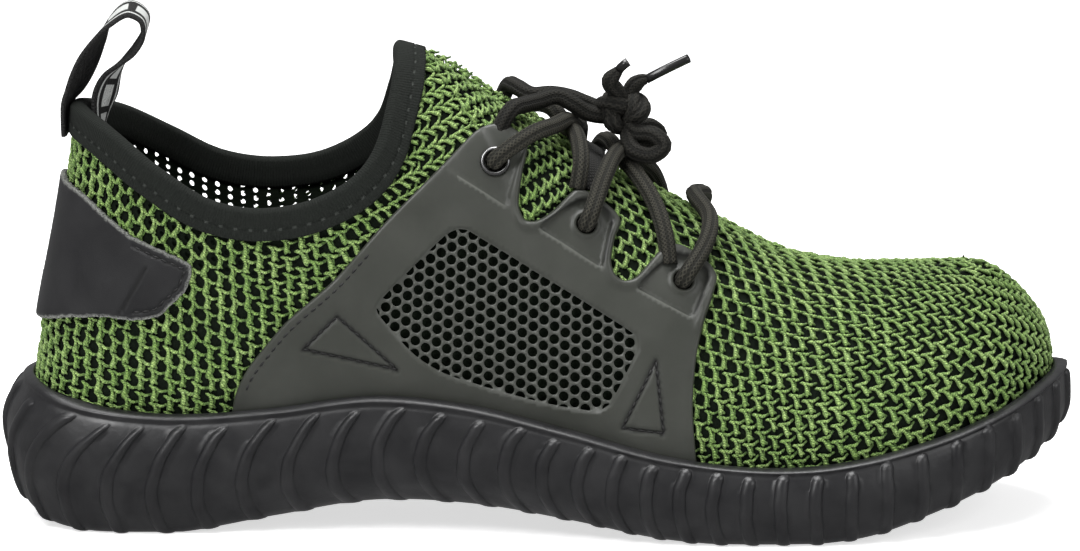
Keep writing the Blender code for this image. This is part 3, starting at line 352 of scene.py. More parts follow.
# Camera
EYE = math.radians(10.5)
EYE_DISTANCE = 1.5
VIEW_WIDTH = 303.6 * MM
SENSOR = 36
AIM = Vector((0.1124, 0.0, 0.0663))
camera_data = bpy.data.cameras.new("camera")
camera_data.lens = SENSOR * EYE_DISTANCE / VIEW_WIDTH
camera_data.sensor_width = SENSOR
camera_data.clip_start = 0.05
camera = bpy.data.objects.new("camera", camera_data)
camera.location = AIM + Vector((0.0, -math.cos(EYE), math.sin(EYE))) * EYE_DISTANCE
camera.rotation_euler = (math.pi / 2 - EYE, 0.0, 0.0)
bpy.context.scene.collection.objects.link(camera)
bpy.context.scene.camera = camera

DRESS = bpy.data.collections.new("dressed_shoe")
bpy.context.scene.collection.children.link(DRESS)


class Look:
    """A material's node tree, built up a few nodes at a time."""

    def __init__(self, name, colour, roughness, **sockets):
        self.material = bpy.data.materials.new(name)
        self.material.use_nodes = True
        self.tree = self.material.node_tree
        self.surface = self.tree.nodes["Principled BSDF"]
        self.surface.inputs["Base Color"].default_value = (*colour, 1.0)
        self.surface.inputs["Roughness"].default_value = roughness
        for key, value in sockets.items():
            self.surface.inputs[key.replace("_", " ").title().replace("Ior", "IOR")].default_value = value
        self.place = self.tree.nodes.new("ShaderNodeTexCoord").outputs["Object"]
        self.height = None

    def node(self, kind, inputs, **settings):
        made = self.tree.nodes.new(kind)
        for key, value in settings.items():
            setattr(made, key, value)
        for key, value in inputs.items():
            self.feed(made.inputs[key], value)
        return made

    def feed(self, socket, value):
        if isinstance(value, bpy.types.NodeSocket):
            self.tree.links.new(value, socket)
        else:
            socket.default_value = value

    def noise(self, size, detail=3.0, rough=0.55):
        inputs = {"Vector": self.place, "Scale": 1 / size, "Detail": detail, "Roughness": rough}
        return self.node("ShaderNodeTexNoise", inputs).outputs[0]

    def cells(self, size, feature="F1"):
        inputs = {"Vector": self.place, "Scale": 1 / size}
        return self.node("ShaderNodeTexVoronoi", inputs, feature=feature).outputs["Distance"]

    def maths(self, operation, a, b=0.0):
        return self.node("ShaderNodeMath", {0: a, 1: b}, operation=operation).outputs[0]

    def band(self, value, low, high, start=0.0, end=1.0):
        inputs = {"Value": value, "From Min": low, "From Max": high, "To Min": start, "To Max": end}
        return self.node("ShaderNodeMapRange", inputs).outputs["Result"]

    def mix(self, share, a, b):
        made = self.tree.nodes.new("ShaderNodeMix")
        made.data_type = "RGBA"
        for number, value in ((0, share), (6, a), (7, b)):
            self.feed(made.inputs[number], (*value, 1.0) if isinstance(value, tuple) else value)
        return made.outputs[2]

    def attribute(self, name, output="Fac"):
        return self.node("ShaderNodeAttribute", {}, attribute_name=name).outputs[output]

    def wave(self, value, pitch):
        return self.maths("SINE", self.maths("MULTIPLY", value, 2 * math.pi / pitch))

    def away(self, value, centre):
        return self.maths("ABSOLUTE", self.maths("SUBTRACT", value, centre))

    def mottled(self, size, detail, low, high, a, b):
        """Two colours mixed by a noise."""
        return self.mix(self.band(self.noise(size, detail), low, high), a, b)

    def colour(self, value):
        self.feed(self.surface.inputs["Base Color"], value)

    def gloss(self, value):
        self.feed(self.surface.inputs["Roughness"], value)

    def relief(self, height, distance, strength=1.0):
        inputs = {"Height": height, "Distance": distance, "Strength": strength}
        if self.height is not None:
            inputs["Normal"] = self.height
        self.height = self.node("ShaderNodeBump", inputs).outputs[0]
        self.feed(self.surface.inputs["Normal"], self.height)


def make_piece(name, points, faces, look, smooth_faces=True, rides=True, **attributes):
    """A piece of the dressed shoe from arrays of points and of three or four sided faces."""
    faces = [np.asarray(f, np.int64) for f in (faces if isinstance(faces, list) else [faces]) if len(f)]
    mesh = bpy.data.meshes.new(name)
    points = np.asarray(points, np.float32).reshape(-1, 3)
    mesh.vertices.add(len(points))
    mesh.vertices.foreach_set("co", points.ravel())
    corners = np.concatenate([f.ravel() for f in faces])
    sizes = np.concatenate([np.full(len(f), f.shape[1]) for f in faces])
    mesh.loops.add(len(corners))
    mesh.loops.foreach_set("vertex_index", corners.astype(np.int32))
    mesh.polygons.add(len(sizes))
    mesh.polygons.foreach_set("loop_start", np.concatenate([[0], np.cumsum(sizes)[:-1]]).astype(np.int32))
    mesh.update(calc_edges=True)
    mesh.polygons.foreach_set("use_smooth", [smooth_faces] * len(sizes))
    for key, values in attributes.items():
        values = np.asarray(values, np.float32)
        kind = "FLOAT_VECTOR" if values.ndim == 2 else "FLOAT"
        layer = mesh.attributes.new(key, kind, "POINT")
        layer.data.foreach_set("vector" if values.ndim == 2 else "value", values.ravel())
    mesh.materials.append(look.material)
    obj = bpy.data.objects.new(name, mesh)
    DRESS.objects.link(obj)
    if rides:
        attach(obj, "root")
    return obj


def grid_quads(columns, rows, start=0, turned=False):
    """Faces between neighbouring columns of points."""
    i = np.arange(columns - 1)[:, None] * rows
    k = np.arange(rows - 1)[None, :]
    quads = np.stack([i + k, i + rows + k, i + rows + k + 1, i + k + 1], -1).reshape(-1, 4)
    return start + (quads[:, ::-1] if turned else quads)


def tube_quads(rings, count, closed=False):
    """Faces between rings that have the same count of points, back to the first ring where it is closed."""
    i = np.arange(rings if closed else rings - 1)[:, None]
    k = np.arange(count)[None, :]
    m, n = (i + 1) % rings, (k + 1) % count
    return np.stack([i * count + k, i * count + n, m * count + n, m * count + k], -1).reshape(-1, 4)


def tube_caps(rings, count):
    return np.array([list(range(count))[::-1], list(range((rings - 1) * count, rings * count))])


def halves(quads):
    """Two triangles for each face with four sides."""
    return np.concatenate([quads[:, [0, 1, 2]], quads[:, [0, 2, 3]]])


def distance_to_line(x, z, line, closed=False):
    """Least distance from points of the side view to a broken line there."""
    line = np.asarray(line, float)
    ends = np.roll(line, -1, 0) if closed else line[1:]
    best = np.full(np.shape(x), 1e9)
    for a, b in zip(line, ends):
        run = b - a
        share = np.clip(((x - a[0]) * run[0] + (z - a[1]) * run[1]) / (run @ run + 1e-18), 0, 1)
        best = np.minimum(best, np.hypot(x - a[0] - share * run[0], z - a[1] - share * run[1]))
    return best


def inside_of(x, z, line):
    """Which points of the side view lie inside a closed line."""
    line = np.asarray(line, float)
    found = np.zeros(np.shape(x), bool)
    for a, b in zip(line, np.roll(line, -1, 0)):
        crosses = (a[1] > z) != (b[1] > z)
        found ^= crosses & (x < (b[0] - a[0]) * (z - a[1]) / (b[1] - a[1] + 1e-18) + a[0])
    return found


def rounded(table, step=0.6 * MM):
    """A side view table turned into a smooth, closed and evenly stepped line in metres."""
    line = in_metres(table)
    line = np.concatenate([line[-2:], line, line[:3]])
    cut = []
    for k in range(2, len(line) - 3):
        p0, p1, p2, p3 = line[k - 1 : k + 3]
        gap = np.linalg.norm(p2 - p1)
        t = np.linspace(0, 1, max(2, int(round(gap / step))), endpoint=False)[:, None]
        reach = gap / max(gap, np.linalg.norm(p1 - p0)), gap / max(gap, np.linalg.norm(p3 - p2))
        m1, m2 = (p2 - p0) * 0.5 * reach[0], (p3 - p1) * 0.5 * reach[1]
        cut.append((2 * t**3 - 3 * t**2 + 1) * p1 + (t**3 - 2 * t**2 + t) * m1
                   + (3 * t**2 - 2 * t**3) * p2 + (t**3 - t**2) * m2)
    return np.concatenate(cut)


PANEL_LINE = rounded(PANEL_OUTLINE)
WINDOW_LINE = rounded(WINDOW_OUTLINE)
COUNTER_LINE = rounded(COUNTER_OUTLINE)

# Creases of the upper: side view line as shares | depth and half width in mm
CREASES = (
    (((0.700, 0.640), (0.735, 0.560), (0.745, 0.470), (0.735, 0.380)), 0.9, 7.0),
    (((0.770, 0.545), (0.800, 0.480), (0.812, 0.420)), 0.6, 5.0),
    (((0.665, 0.640), (0.690, 0.560), (0.695, 0.450)), -0.5, 5.0),
    (((0.945, 0.500), (0.958, 0.420), (0.950, 0.340)), 0.7, 5.0),
    (((0.245, 0.640), (0.290, 0.560), (0.330, 0.540)), 0.6, 5.0),
    (((0.150, 0.420), (0.190, 0.360), (0.215, 0.270)), 0.5, 5.0),
    (((0.030, 0.380), (0.080, 0.350), (0.130, 0.360)), 0.4, 4.0),
    (((0.405, 0.880), (0.440, 0.870), (0.480, 0.900)), 0.5, 5.0),
)


def creased(points):
    """How far the creases push each point of the upper inward."""
    depth = np.zeros(points.shape[:-1])
    for line, deep, wide in CREASES:
        away = distance_to_line(points[..., 0], points[..., 2], in_metres(line)) / (wide * MM)
        depth += deep * MM * np.exp(-away**2)
    return depth


def skin_at(place, side, level, lift):
    """Point, along, upward and outward directions of the creased upper at a lift off its face."""
    place, level = np.broadcast_arrays(np.asarray(place, float), np.asarray(level, float))
    a, b = np.clip(place, 2e-3, 1 - 2e-3), np.clip(level, 2e-3, 1 - 2e-3)
    along = upper_point(a + 1e-3, side, b) - upper_point(a - 1e-3, side, b)
    rising = upper_point(a, side, b + 1e-3) - upper_point(a, side, b - 1e-3)
    out = unit(np.cross(along, rising) * -side)
    tip = (place <= 1e-6) | (place >= 1 - 1e-6)
    out[..., 1] = np.where(tip, 0.0, out[..., 1])
    point = upper_point(place, side, level)
    lift = np.broadcast_to(lift, place.shape) - creased(point)
    along = unit(along)
    up = np.cross(out, along) * -side
    return point + out * lift[..., None], along, up, out


FINE = np.linspace(0, 1, 401)
RUN_LEVEL = 0.42
RUNS = {side: lengths_along(upper_point(FINE, side, RUN_LEVEL)) for side in (LATERAL, MEDIAL)}


def climb(place, side):
    """Heights up each column's own line, from the cup floor, and their levels."""
    levels = np.linspace(0, 1, 61)
    line = upper_point(np.asarray(place)[:, None], side, levels[None, :])
    steps = np.linalg.norm(np.diff(line, axis=1), axis=2)
    rise = np.concatenate([np.zeros((len(line), 1)), np.cumsum(steps, axis=1)], 1) + line[:, :1, 2]
    return rise, levels


def level_for(place, rise, side):
    """Levels at given rises, one for each place, and the rises of the top."""
    climbs, levels = climb(place, side)
    return np.array([np.interp(r, c, levels) for r, c in zip(rise, climbs)]), climbs[:, -1]


def surface_of(run, rise, side):
    """Station and level for a run along the shoe and a rise up its side, and the rise of the top."""
    place = np.interp(run, RUNS[side], FINE)
    return place, *level_for(place, rise, side)


# Sole
RUBBER = Look("sole_rubber", (0.016, 0.016, 0.017), 0.42, Specular_IOR_Level=0.4)
RUBBER.colour(RUBBER.mottled(9 * MM, 5.0, 0.35, 0.75, (0.008, 0.008, 0.009), (0.017, 0.017, 0.018)))
RUBBER.gloss(RUBBER.band(RUBBER.noise(14 * MM, 6.0, 0.65), 0.3, 0.75, 0.30, 0.50))
RUBBER.relief(RUBBER.noise(0.7 * MM, 2.0), 0.05 * MM, 0.5)
RUBBER.relief(RUBBER.noise(4 * MM, 2.0), 0.25 * MM, 0.5)


def shares_of_outline(side):
    """Stations, their share of the outline's length, and that length."""
    places = np.linspace(0, 1, 2001)
    run = lengths_along(outline(places, side))
    return places, run / run[-1], run[-1]


TOTAL = (shares_of_outline(LATERAL)[2] + shares_of_outline(MEDIAL)[2]) / 2


def rib_row(share, column):
    return np.interp(share, RIB_ROWS[:, 0], RIB_ROWS[:, column])


def place_of(share, side):
    places, run, _ = shares_of_outline(side)
    return np.interp(share, run, places)


def bottom_of(place):
    return np.maximum(smooth(SOLE_ROWS, BOTTOM, place), 0) * SOLE_HEIGHT


def cup_inset(place, side, height):
    """How far the upper lies inside the sole's widest line at given heights."""
    found = []
    for p, h in zip(place, height):
        point = upper_point(p, side, level_at(p, side, h))
        found.append(np.dot(outline(p, side) - point[:2], outward(p, side)))
    return np.array(found)


def rib_centres():
    """Middles of the ribs as shares of the outline, stretched to end even at the toe."""
    centres = []
    share = 0.45 * rib_row(0, RIB_PITCH) * LENGTH / TOTAL
    while share < 1:
        centres.append(share)
        share += rib_row(share, RIB_PITCH) * LENGTH / TOTAL
    last = 1 - 0.45 * rib_row(1, RIB_PITCH) * LENGTH / TOTAL
    centres = np.array(centres[:-1] if centres[-1] > 0.985 else centres)
    return centres[0] + (centres - centres[0]) * (last - centres[0]) / (centres[-1] - centres[0])


CENTRES = rib_centres()
RIB_FOOT = 1.85 * MM
RIB_END = 0.85
BEAD = 0.55 * MM
BEAD_AT = 0.965
BEAD_GROOVE = 0.15 * MM
LIP_ROUND = 1.1 * MM
BOTTOM_ROUND = 2.4 * MM
RIB_STEPS = (-2.1, -1.85, -1.78, -1.6, -1.3, -0.7, 0.0, 0.7, 1.3, 1.6, 1.78, 1.85, 2.1)
near_rib = np.array(RIB_STEPS) * MM / TOTAL
sole_shares = [0.0] + list(np.linspace(0, CENTRES[0] + near_rib[0], 4)[1:-1])
for centre, following in zip(CENTRES, np.append(CENTRES[1:], 1.0)):
    gap = (centre + near_rib[-1], following + near_rib[0] if following < 1 else 1.0)
    sole_shares += list(centre + near_rib) + list(np.linspace(*gap, 5)[1:-1])
sole_shares = np.array(sole_shares + [1.0])
SOLE_LEVELS = np.concatenate([
    np.linspace(0, 0.12, 9)[:-1], np.linspace(0.12, 0.70, 17)[:-1], np.linspace(0.70, 0.88, 13)[:-1],
    np.linspace(0.88, 1.0, 13),
])
# Inside of the cup: drop below the lip and how far the wall steps back, in millimetres
CUP_FLOOR = 99.0
CUP_STEPS = ((0.0, 0.35), (0.35, 0.05), (1.5, 0.0), (LIP_DEPTH / MM, 0.0), (CUP_FLOOR, 0.0))
# Under the side: further in and up, in millimetres
BASE_STEPS = ((0.9, 0.12), (2.0, 0.02), (3.5, 0.0))
sole_points, sole_quads, edges = [], [], {}
for side in (LATERAL, MEDIAL):
    share, height = np.meshgrid(sole_shares, SOLE_LEVELS, indexing="ij")
    fade = np.clip(np.minimum(share, 1 - share) / 0.10, 0, 1)
    shift = rib_row(share, RIB_SLANT) * (height - 0.5) + rib_row(share, RIB_BOW) * (height - 0.5) ** 2
    place = place_of(np.clip(share + shift * fade * LENGTH / TOTAL, 0, 1), side)
    low = bottom_of(place)
    lip = smooth(SOLE_ROWS, LIP[side > 0], place) * SOLE_HEIGHT
    tuck = np.clip((0.45 - height) / 0.45, 0, 1) ** 2 * smooth(SOLE_ROWS, UNDER, place)
    lean = np.clip((height - 0.45) / 0.55, 0, 1) ** 2 * smooth(SOLE_ROWS, LEAN, place)
    nearest = np.abs(share[..., None] - CENTRES).argmin(-1)
    beside = (share - CENTRES[nearest]) * TOTAL
    wander = 0.12 * MM * np.sin(height * 9 + nearest * 1.7)
    wander += 0.08 * MM * np.sin(height * 23 + nearest * 2.9)
    past = np.maximum(height - RIB_END + 0.02 * np.sin(nearest * 2.3), 0) * (lip - low)
    across = np.hypot(beside - wander, past) / RIB_FOOT
    body = np.clip(1 - across**2, 0, 1) ** 0.55
    body *= np.interp(height, (0, 0.10, 0.5, 0.8, 1), (0.75, 1.0, 1.0, 1.05, 1.1))
    bead = BEAD * np.exp(-(((height - BEAD_AT) / 0.022) ** 2))
    bead -= BEAD_GROOVE * np.exp(-(((height - 0.925) / 0.02) ** 2))
    top = LIP_ROUND * (1 - np.sqrt(1 - np.clip((height - BEAD_AT) / (1 - BEAD_AT), 0, 1) ** 2))
    above = height * (lip - low)
    foot = BOTTOM_ROUND * (1 - 0.55 * body)
    turn = foot - np.sqrt(np.maximum(foot**2 - np.maximum(foot - above, 0) ** 2, 0))
    inset = (tuck + lean) * FEATHER_INSET - body * RIB_HEIGHT - bead + top + turn
    outer = high(outline(place, side) - outward(place, side) * inset[..., None], low + above)
    coarse = np.linspace(0, 1, 61)
    c_place = place_of(coarse, side)
    c_lip = smooth(SOLE_ROWS, LIP[side > 0], c_place) * SOLE_HEIGHT
    c_floor = smooth(SOLE_ROWS, FLOOR, c_place) * SOLE_HEIGHT
    c_lean = smooth(SOLE_ROWS, LEAN, c_place) * FEATHER_INSET
    room = np.maximum(smooth(SOLE_ROWS, ROOM, c_place), 0) * WALL
    here = place_of(sole_shares, side)
    inner = []
    for drop, down in CUP_STEPS:
        at = np.maximum(c_lip - drop * MM, c_floor)
        gap = 2 * CLEARANCE + (0 if drop == CUP_FLOOR else room)
        wall = np.maximum(cup_inset(c_place, side, at) - gap, c_lean + LIP_LEAST) - down * MM
        wall = np.interp(sole_shares, coarse, wall)
        plan = outline(here, side) - outward(here, side) * wall[:, None]
        inner.append(high(plan, np.interp(sole_shares, coarse, at)))
    base = []
    for more, up in BASE_STEPS:
        tucked = smooth(SOLE_ROWS, UNDER, here) * FEATHER_INSET + BOTTOM_ROUND + more * MM
        plan = outline(here, side) - outward(here, side) * tucked[:, None]
        base.append(high(plan, bottom_of(here) + up * MM))
    rows = np.concatenate([np.stack(base[::-1], 1), outer, np.stack(inner, 1)], 1)
    start = sum(len(p) for p in sole_points)
    sole_points.append(rows.reshape(-1, 3))
    sole_quads.append(grid_quads(rows.shape[0], rows.shape[1], start, turned=side < 0))
    edges[side] = (rows[:, 0], rows[:, -1], start, rows.shape[1])

# Tread: a height field between the two base lines, with chevron channels
ACROSS = np.linspace(0, 1, 44)
left, right = edges[LATERAL][0], edges[MEDIAL][0]
tread = left[:, None] * (1 - ACROSS[None, :, None]) + right[:, None] * ACROSS[None, :, None]
middle = (left[:, 1] + right[:, 1])[:, None] / 2
half = np.maximum((right[:, 1] - left[:, 1])[:, None] / 2, 1 * MM)
off = np.abs(tread[..., 1] - middle)
within = np.clip((half - off - 3.5 * MM) / (1.0 * MM), 0, 1)
phase = (tread[..., 0] + LUG_POINT * off / half + 2.5 * LUG_PITCH) / LUG_PITCH
line = np.abs(phase - np.round(phase)) * LUG_PITCH
channel = np.clip((LUG_CHANNEL / 2 + 0.5 * MM - line) / (1.0 * MM), 0, 1)
x_share = (tread[..., 0] + HEEL_CENTRE) / LENGTH
active = ((x_share < 0.225) | (x_share > 0.495)) & (x_share < 0.86) & (x_share > 0.06)
tread[..., 2] += LUG_DEPTH * channel * within * active
grip = np.clip(0.5 + 0.5 * np.cos(2 * math.pi * tread[..., 1] / (2.4 * MM)), 0, 1)
tread[..., 2] += 0.25 * MM * grip * ~active * within
start = sum(len(p) for p in sole_points)
sole_points.append(tread.reshape(-1, 3))
sole_quads.append(grid_quads(len(tread), len(ACROSS), start))
a, b = edges[LATERAL], edges[MEDIAL]
i = np.arange(len(sole_shares) - 1)
last_a, last_b = a[2] + i * a[3] + a[3] - 1, b[2] + i * b[3] + b[3] - 1
sole_quads.append(np.stack([last_a, last_a + a[3], last_b + b[3], last_b], -1))
sole_piece = make_piece("sole_ribbed", np.concatenate(sole_points), sole_quads, RUBBER)
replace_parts(sole_piece, "sole")

# Upper: a dark lining sheet with yarn laid over it, stitch by stitch
LINING = Look("dark_lining", (0.010, 0.011, 0.010), 0.9, Specular_IOR_Level=0.1)
threads = [
    LINING.node("ShaderNodeTexWave", {"Vector": LINING.place, "Scale": 320.0, "Distortion": 1.5},
                bands_direction=direction).outputs["Fac"]
    for direction in ("Z", "X")
]
LINING.colour(LINING.mix(LINING.noise(3 * MM, 4.0), (0.002, 0.004, 0.002), (0.008, 0.012, 0.007)))
LINING.relief(LINING.maths("MAXIMUM", *threads), 0.12 * MM, 0.6)

LINING_OUT = -1.15 * MM
LINING_THICK = 0.55 * MM
BAND_LOW = 21 * MM
front_station = float(station(COLLAR_FRONT))
linings = {}
for side, word in SIDES:
    lining_places = np.concatenate([np.linspace(0, front_station, 90), np.linspace(front_station, 1, 71)[1:]])
    rises, levels = climb(lining_places, side)
    columns = []
    for place, rise in zip(lining_places, rises):
        top = rise[-1] - (BAND_LOW if place <= front_station + 1e-9 else 0.0)
        columns.append(np.interp(np.linspace(rise[0], top, 46), rise, levels))
    columns = np.array(columns)
    outer, inner = (
        skin_at(lining_places[:, None], side, columns, LINING_OUT - deep)[0] for deep in (0.0, LINING_THICK)
    )
    shape = outer.shape[:2]
    faces = [grid_quads(*shape, turned=side < 0), grid_quads(*shape, start=shape[0] * shape[1], turned=side > 0)]
    points = np.concatenate([outer.reshape(-1, 3), inner.reshape(-1, 3)])
    linings[side] = make_piece("lining_" + word, points, faces, LINING)

# Yarn net: rows of x, y, lift and radius of each strand about its stitch, in millimetres, and its sides
STITCH = (
    (((-1.65, 0.50, -0.45, 0.18), (-0.95, 0.45, -0.20, 0.50), (-0.25, 0.18, -0.15, 0.54),
      (0.18, -0.55, -0.25, 0.46), (0.45, -1.30, -0.30, 0.62), (0.58, -2.25, -0.25, 0.80),
      (0.58, -2.95, -0.35, 0.64), (0.50, -3.55, -0.65, 0.26)), 6),
    (((0.00, 0.50, -0.55, 0.26), (0.70, 0.18, -0.20, 0.42), (1.50, -0.15, -0.08, 0.48),
      (2.20, -0.05, -0.15, 0.46), (2.80, 0.10, -0.45, 0.24)), 6),
    (((2.45, 0.00, -0.55, 0.38), (3.20, 0.30, -0.65, 0.44), (3.95, 0.55, -0.70, 0.32)), 4),
    (((0.75, -2.10, -0.50, 0.44), (1.35, -2.60, -0.40, 0.52), (2.05, -2.95, -0.60, 0.30)), 4),
    (((1.20, -0.30, -0.70, 0.38), (1.25, -1.50, -0.75, 0.42), (1.15, -2.60, -0.75, 0.34)), 4),
)
# Size of a stitch on the shoe, and as the strands are drawn
STITCH_WIDE, STITCH_TALL = 3.9 * MM, 4.65 * MM
DRAWN_WIDE, DRAWN_TALL = 4.0 * MM, 4.27 * MM
STITCH_START = 8 * MM
STITCH_ROWS = range(-2, 36)
YARN_TUCK = 3.6 * MM
FRONT_TURN = math.radians(15)
REAR_TURN = {LATERAL: math.radians(-8), MEDIAL: math.radians(14)}


def knit_turn(run, side):
    """The cloth lies near level round the heel and turns over the forefoot."""
    x = np.interp(run, RUNS[side], upper_point(FINE, side, RUN_LEVEL)[:, 0])
    forward = np.clip((x + HEEL_CENTRE - 0.52 * LENGTH) / (0.15 * LENGTH), 0, 1)
    return REAR_TURN[side] + (FRONT_TURN - REAR_TURN[side]) * forward


def drift(run, side):
    """Rise of the stitch rows at a run, from the turn of the cloth."""
    steps = np.linspace(0, RUNS[side][-1], 600)
    shear = np.concatenate([[0], np.cumsum(np.tan(knit_turn(steps[:-1], side)) * np.diff(steps))])
    return np.interp(run, steps, shear) % STITCH_TALL


def stitches(side):
    """Stitch places of one side: run, rise, station, level, turn and width."""
    total = RUNS[side][-1]
    columns = int(round(total / STITCH_WIDE))
    wide = total / columns
    run, rise = [], []
    for k in range(columns + 1):
        at = k * wide
        lift = float(drift(at, side))
        for j in STITCH_ROWS:
            run.append(at)
            rise.append(STITCH_START + lift + (j + 0.5 * (k % 2)) * STITCH_TALL)
    run, rise = np.array(run), np.array(rise)
    place, level, top = surface_of(run, rise, side)
    near = surface_of(run + 0.5 * wide, rise, side)
    back = surface_of(run - 0.5 * wide, rise, side)
    apart = upper_point(near[0], side, near[1]) - upper_point(back[0], side, back[1])
    gap = np.linalg.norm(apart, axis=1) / wide
    gap = np.where((run < wide) | (run > total - wide), np.minimum(gap * 1.6, 1.0), gap)
    column = np.round(run / wide).astype(int)
    keep = (gap > 0.60) | ((column % 2 == 0) & (gap > 0.30)) | (column % 4 == 0)
    scale = np.where(gap > 0.60, gap, np.where(gap > 0.30, 2 * gap, 4 * gap))
    point = upper_point(place, side, level)
    lip = smooth(SOLE_ROWS, LIP[side > 0], place) * SOLE_HEIGHT
    spare = np.where(place > front_station + 0.01, 2.2 * MM, -0.2 * MM)
    keep &= (rise < top + spare) & (rise > 0) & (point[:, 2] > lip - 1.5 * MM) & (level > 0.01)
    keep &= ~((place < front_station) & (rise > top - 5.2 * MM))
    x, z = point[:, 0], point[:, 2]
    panel, counter = (
        inside_of(x, z, line) & (distance_to_line(x, z, line, True) > YARN_TUCK)
        for line in (PANEL_LINE, COUNTER_LINE)
    )
    keep &= ~panel & ~(counter & ((x > -HEEL_CENTRE + 6 * MM) | (np.abs(point[:, 1]) > 8 * MM)))
    return run[keep], place[keep], level[keep], knit_turn(run[keep], side), np.clip(scale[keep], 0.5, 1.15)


def strand_shape(rows, sides):
    """Points of one strand, where each lies on it, and its faces."""
    rows = np.array(rows) * MM
    rows[:, 0] *= STITCH_WIDE / DRAWN_WIDE
    rows[:, 1] *= STITCH_TALL / DRAWN_TALL
    run, across, other = frames(rows[:, :3])
    turn = np.linspace(0, 2 * math.pi, sides, endpoint=False) + 0.3
    ring = np.cos(turn)[None, :, None] * across[:, None] + np.sin(turn)[None, :, None] * other[:, None]
    ring[..., 2] *= 0.85
    points = rows[:, None, :3] + ring * rows[:, None, 3:]
    length = lengths_along(rows[:, :3])
    lie = np.stack([np.repeat(length, sides), np.tile(turn, len(rows)), np.repeat(rows[:, 3], sides)], -1)
    return points.reshape(-1, 3), lie, tube_quads(len(rows), sides), tube_caps(len(rows), sides)


YARN = Look(
    "green_yarn", (0.25, 0.36, 0.12), 0.7, Specular_IOR_Level=0.4, Sheen_Weight=0.05, Sheen_Roughness=0.4
)
tone, depth = (YARN.attribute(word) for word in ("tone", "depth"))
lie = YARN.node("ShaderNodeSeparateXYZ", {0: YARN.attribute("lie", "Vector")}).outputs
wound = YARN.maths("ADD", YARN.maths("MULTIPLY", lie[0], 9000.0), YARN.maths("MULTIPLY", lie[1], 2.0))
ply = YARN.maths("SINE", wound)
# Yarn tones by stitch: painted light for the raised tops, painted shade for the depths
painted_light = YARN.mix(tone, (0.25, 0.41, 0.09), (0.44, 0.61, 0.20))
deep = YARN.mix(tone, (0.028, 0.085, 0.012), (0.080, 0.160, 0.026))
# Painted shade: strands darker the deeper they lie in the knit, painted light on their raised tops
body = YARN.mix(YARN.band(depth, -0.75 * MM, 0.35 * MM), deep, painted_light)
body = YARN.mottled(0.9 * MM, 3.0, 0.42, 0.72, body, (0.13, 0.23, 0.05))
body = YARN.mix(YARN.band(YARN.noise(0.55 * MM, 4.0, 0.7), 0.46, 0.62, 0.0, 0.75), body, (0.034, 0.080, 0.016))
body = YARN.mix(YARN.band(YARN.noise(1.1 * MM, 3.0), 0.60, 0.72, 0.0, 0.55), body, (0.46, 0.62, 0.26))
# Painted shade in the grooves between the yarn's plies
YARN.colour(YARN.mix(YARN.band(ply, -1.0, 0.2, 0.55, 0.0), body, (0.03, 0.07, 0.012)))
YARN.relief(ply, 0.12 * MM, 0.9)
YARN.relief(YARN.noise(0.25 * MM, 3.0), 0.12 * MM, 0.7)

for side, word in SIDES:
    run, place, level, turned, scale = stitches(side)
    count = len(run)
    shift = random.normal(0, 0.12 * MM, (count, 2))
    turned = turned + random.normal(0, 0.09, count)
    size = random.normal(1.0, 0.06, count)
    lift = random.normal(0, 0.07 * MM, count)
    origin, along, up, out = skin_at(place, side, level, lift)
    tones = random.random(count)
    half_way = RUNS[side][-1] * 0.56
    for part, chosen in (("rear", run < half_way), ("front", run >= half_way)):
        points, lies, depths, shades, faces, start = [], [], [], [], [], 0
        for rows, sides in STITCH:
            shape, lay, quads, ends = strand_shape(rows, sides)
            c, s = np.cos(turned[chosen])[:, None], np.sin(turned[chosen])[:, None]
            u = (shape[:, 0] * c - shape[:, 1] * s) * (scale * size)[chosen][:, None] + shift[chosen, :1]
            v = (shape[:, 0] * s + shape[:, 1] * c) * size[chosen][:, None] + shift[chosen, 1:]
            w = np.broadcast_to(shape[:, 2], u.shape)
            made = (origin[chosen][:, None] + along[chosen][:, None] * u[..., None]
                    + up[chosen][:, None] * v[..., None] + out[chosen][:, None] * w[..., None])
            number = len(made)
            offset = start + np.arange(number)[:, None, None] * len(shape)
            order = -side
            faces.append((offset + quads[None, :, ::order]).reshape(-1, 4))
            faces.append((offset + ends[None, :, ::order]).reshape(-1, sides))
            points.append(made.reshape(-1, 3))
            lies.append(np.tile(lay, (number, 1)))
            depths.append(w.reshape(-1))
            shades.append(np.repeat(tones[chosen], len(shape)))
            start += number * len(shape)
        make_piece("knit_" + word + "_" + part, np.concatenate(points), faces, YARN,
                   lie=np.concatenate(lies), depth=np.concatenate(depths), tone=np.concatenate(shades))
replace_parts(linings[LATERAL], "upper")


def cut_sheet(outer, holes, points):
    """Triangles of a flat sheet inside a loop, less its holes, through all the given points."""
    loops = [outer] + holes
    flat = np.concatenate(loops + [points])
    owner = np.concatenate([np.full(len(h), k) for k, h in enumerate(loops)] + [np.full(len(points), -1)])
    edges, start = [], 0
    for loop in loops:
        edges += [(start + k, start + (k + 1) % len(loop)) for k in range(len(loop))]
        start += len(loop)
    scaled = [Vector(p) for p in (flat / MM).tolist()]
    verts, _, faces, sources, _, _ = geometry.delaunay_2d_cdt(scaled, edges, [], 0, 1e-5)
    flat = np.array([tuple(v) for v in verts]) * MM
    kept = np.array([s[0] if s else 0 for s in sources])
    owner = np.array([owner[k] for k in kept])
    faces = np.array([f for f in faces if len(f) == 3])
    own = owner[faces]
    same = (own[:, 0] == own[:, 1]) & (own[:, 1] == own[:, 2]) & (own[:, 0] > 0)
    middle = flat[faces].mean(1)
    faces = faces[~same & inside_of(middle[:, 0], middle[:, 1], outer)]
    used, renamed = np.unique(faces, return_inverse=True)
    return flat[used], renamed.reshape(faces.shape)


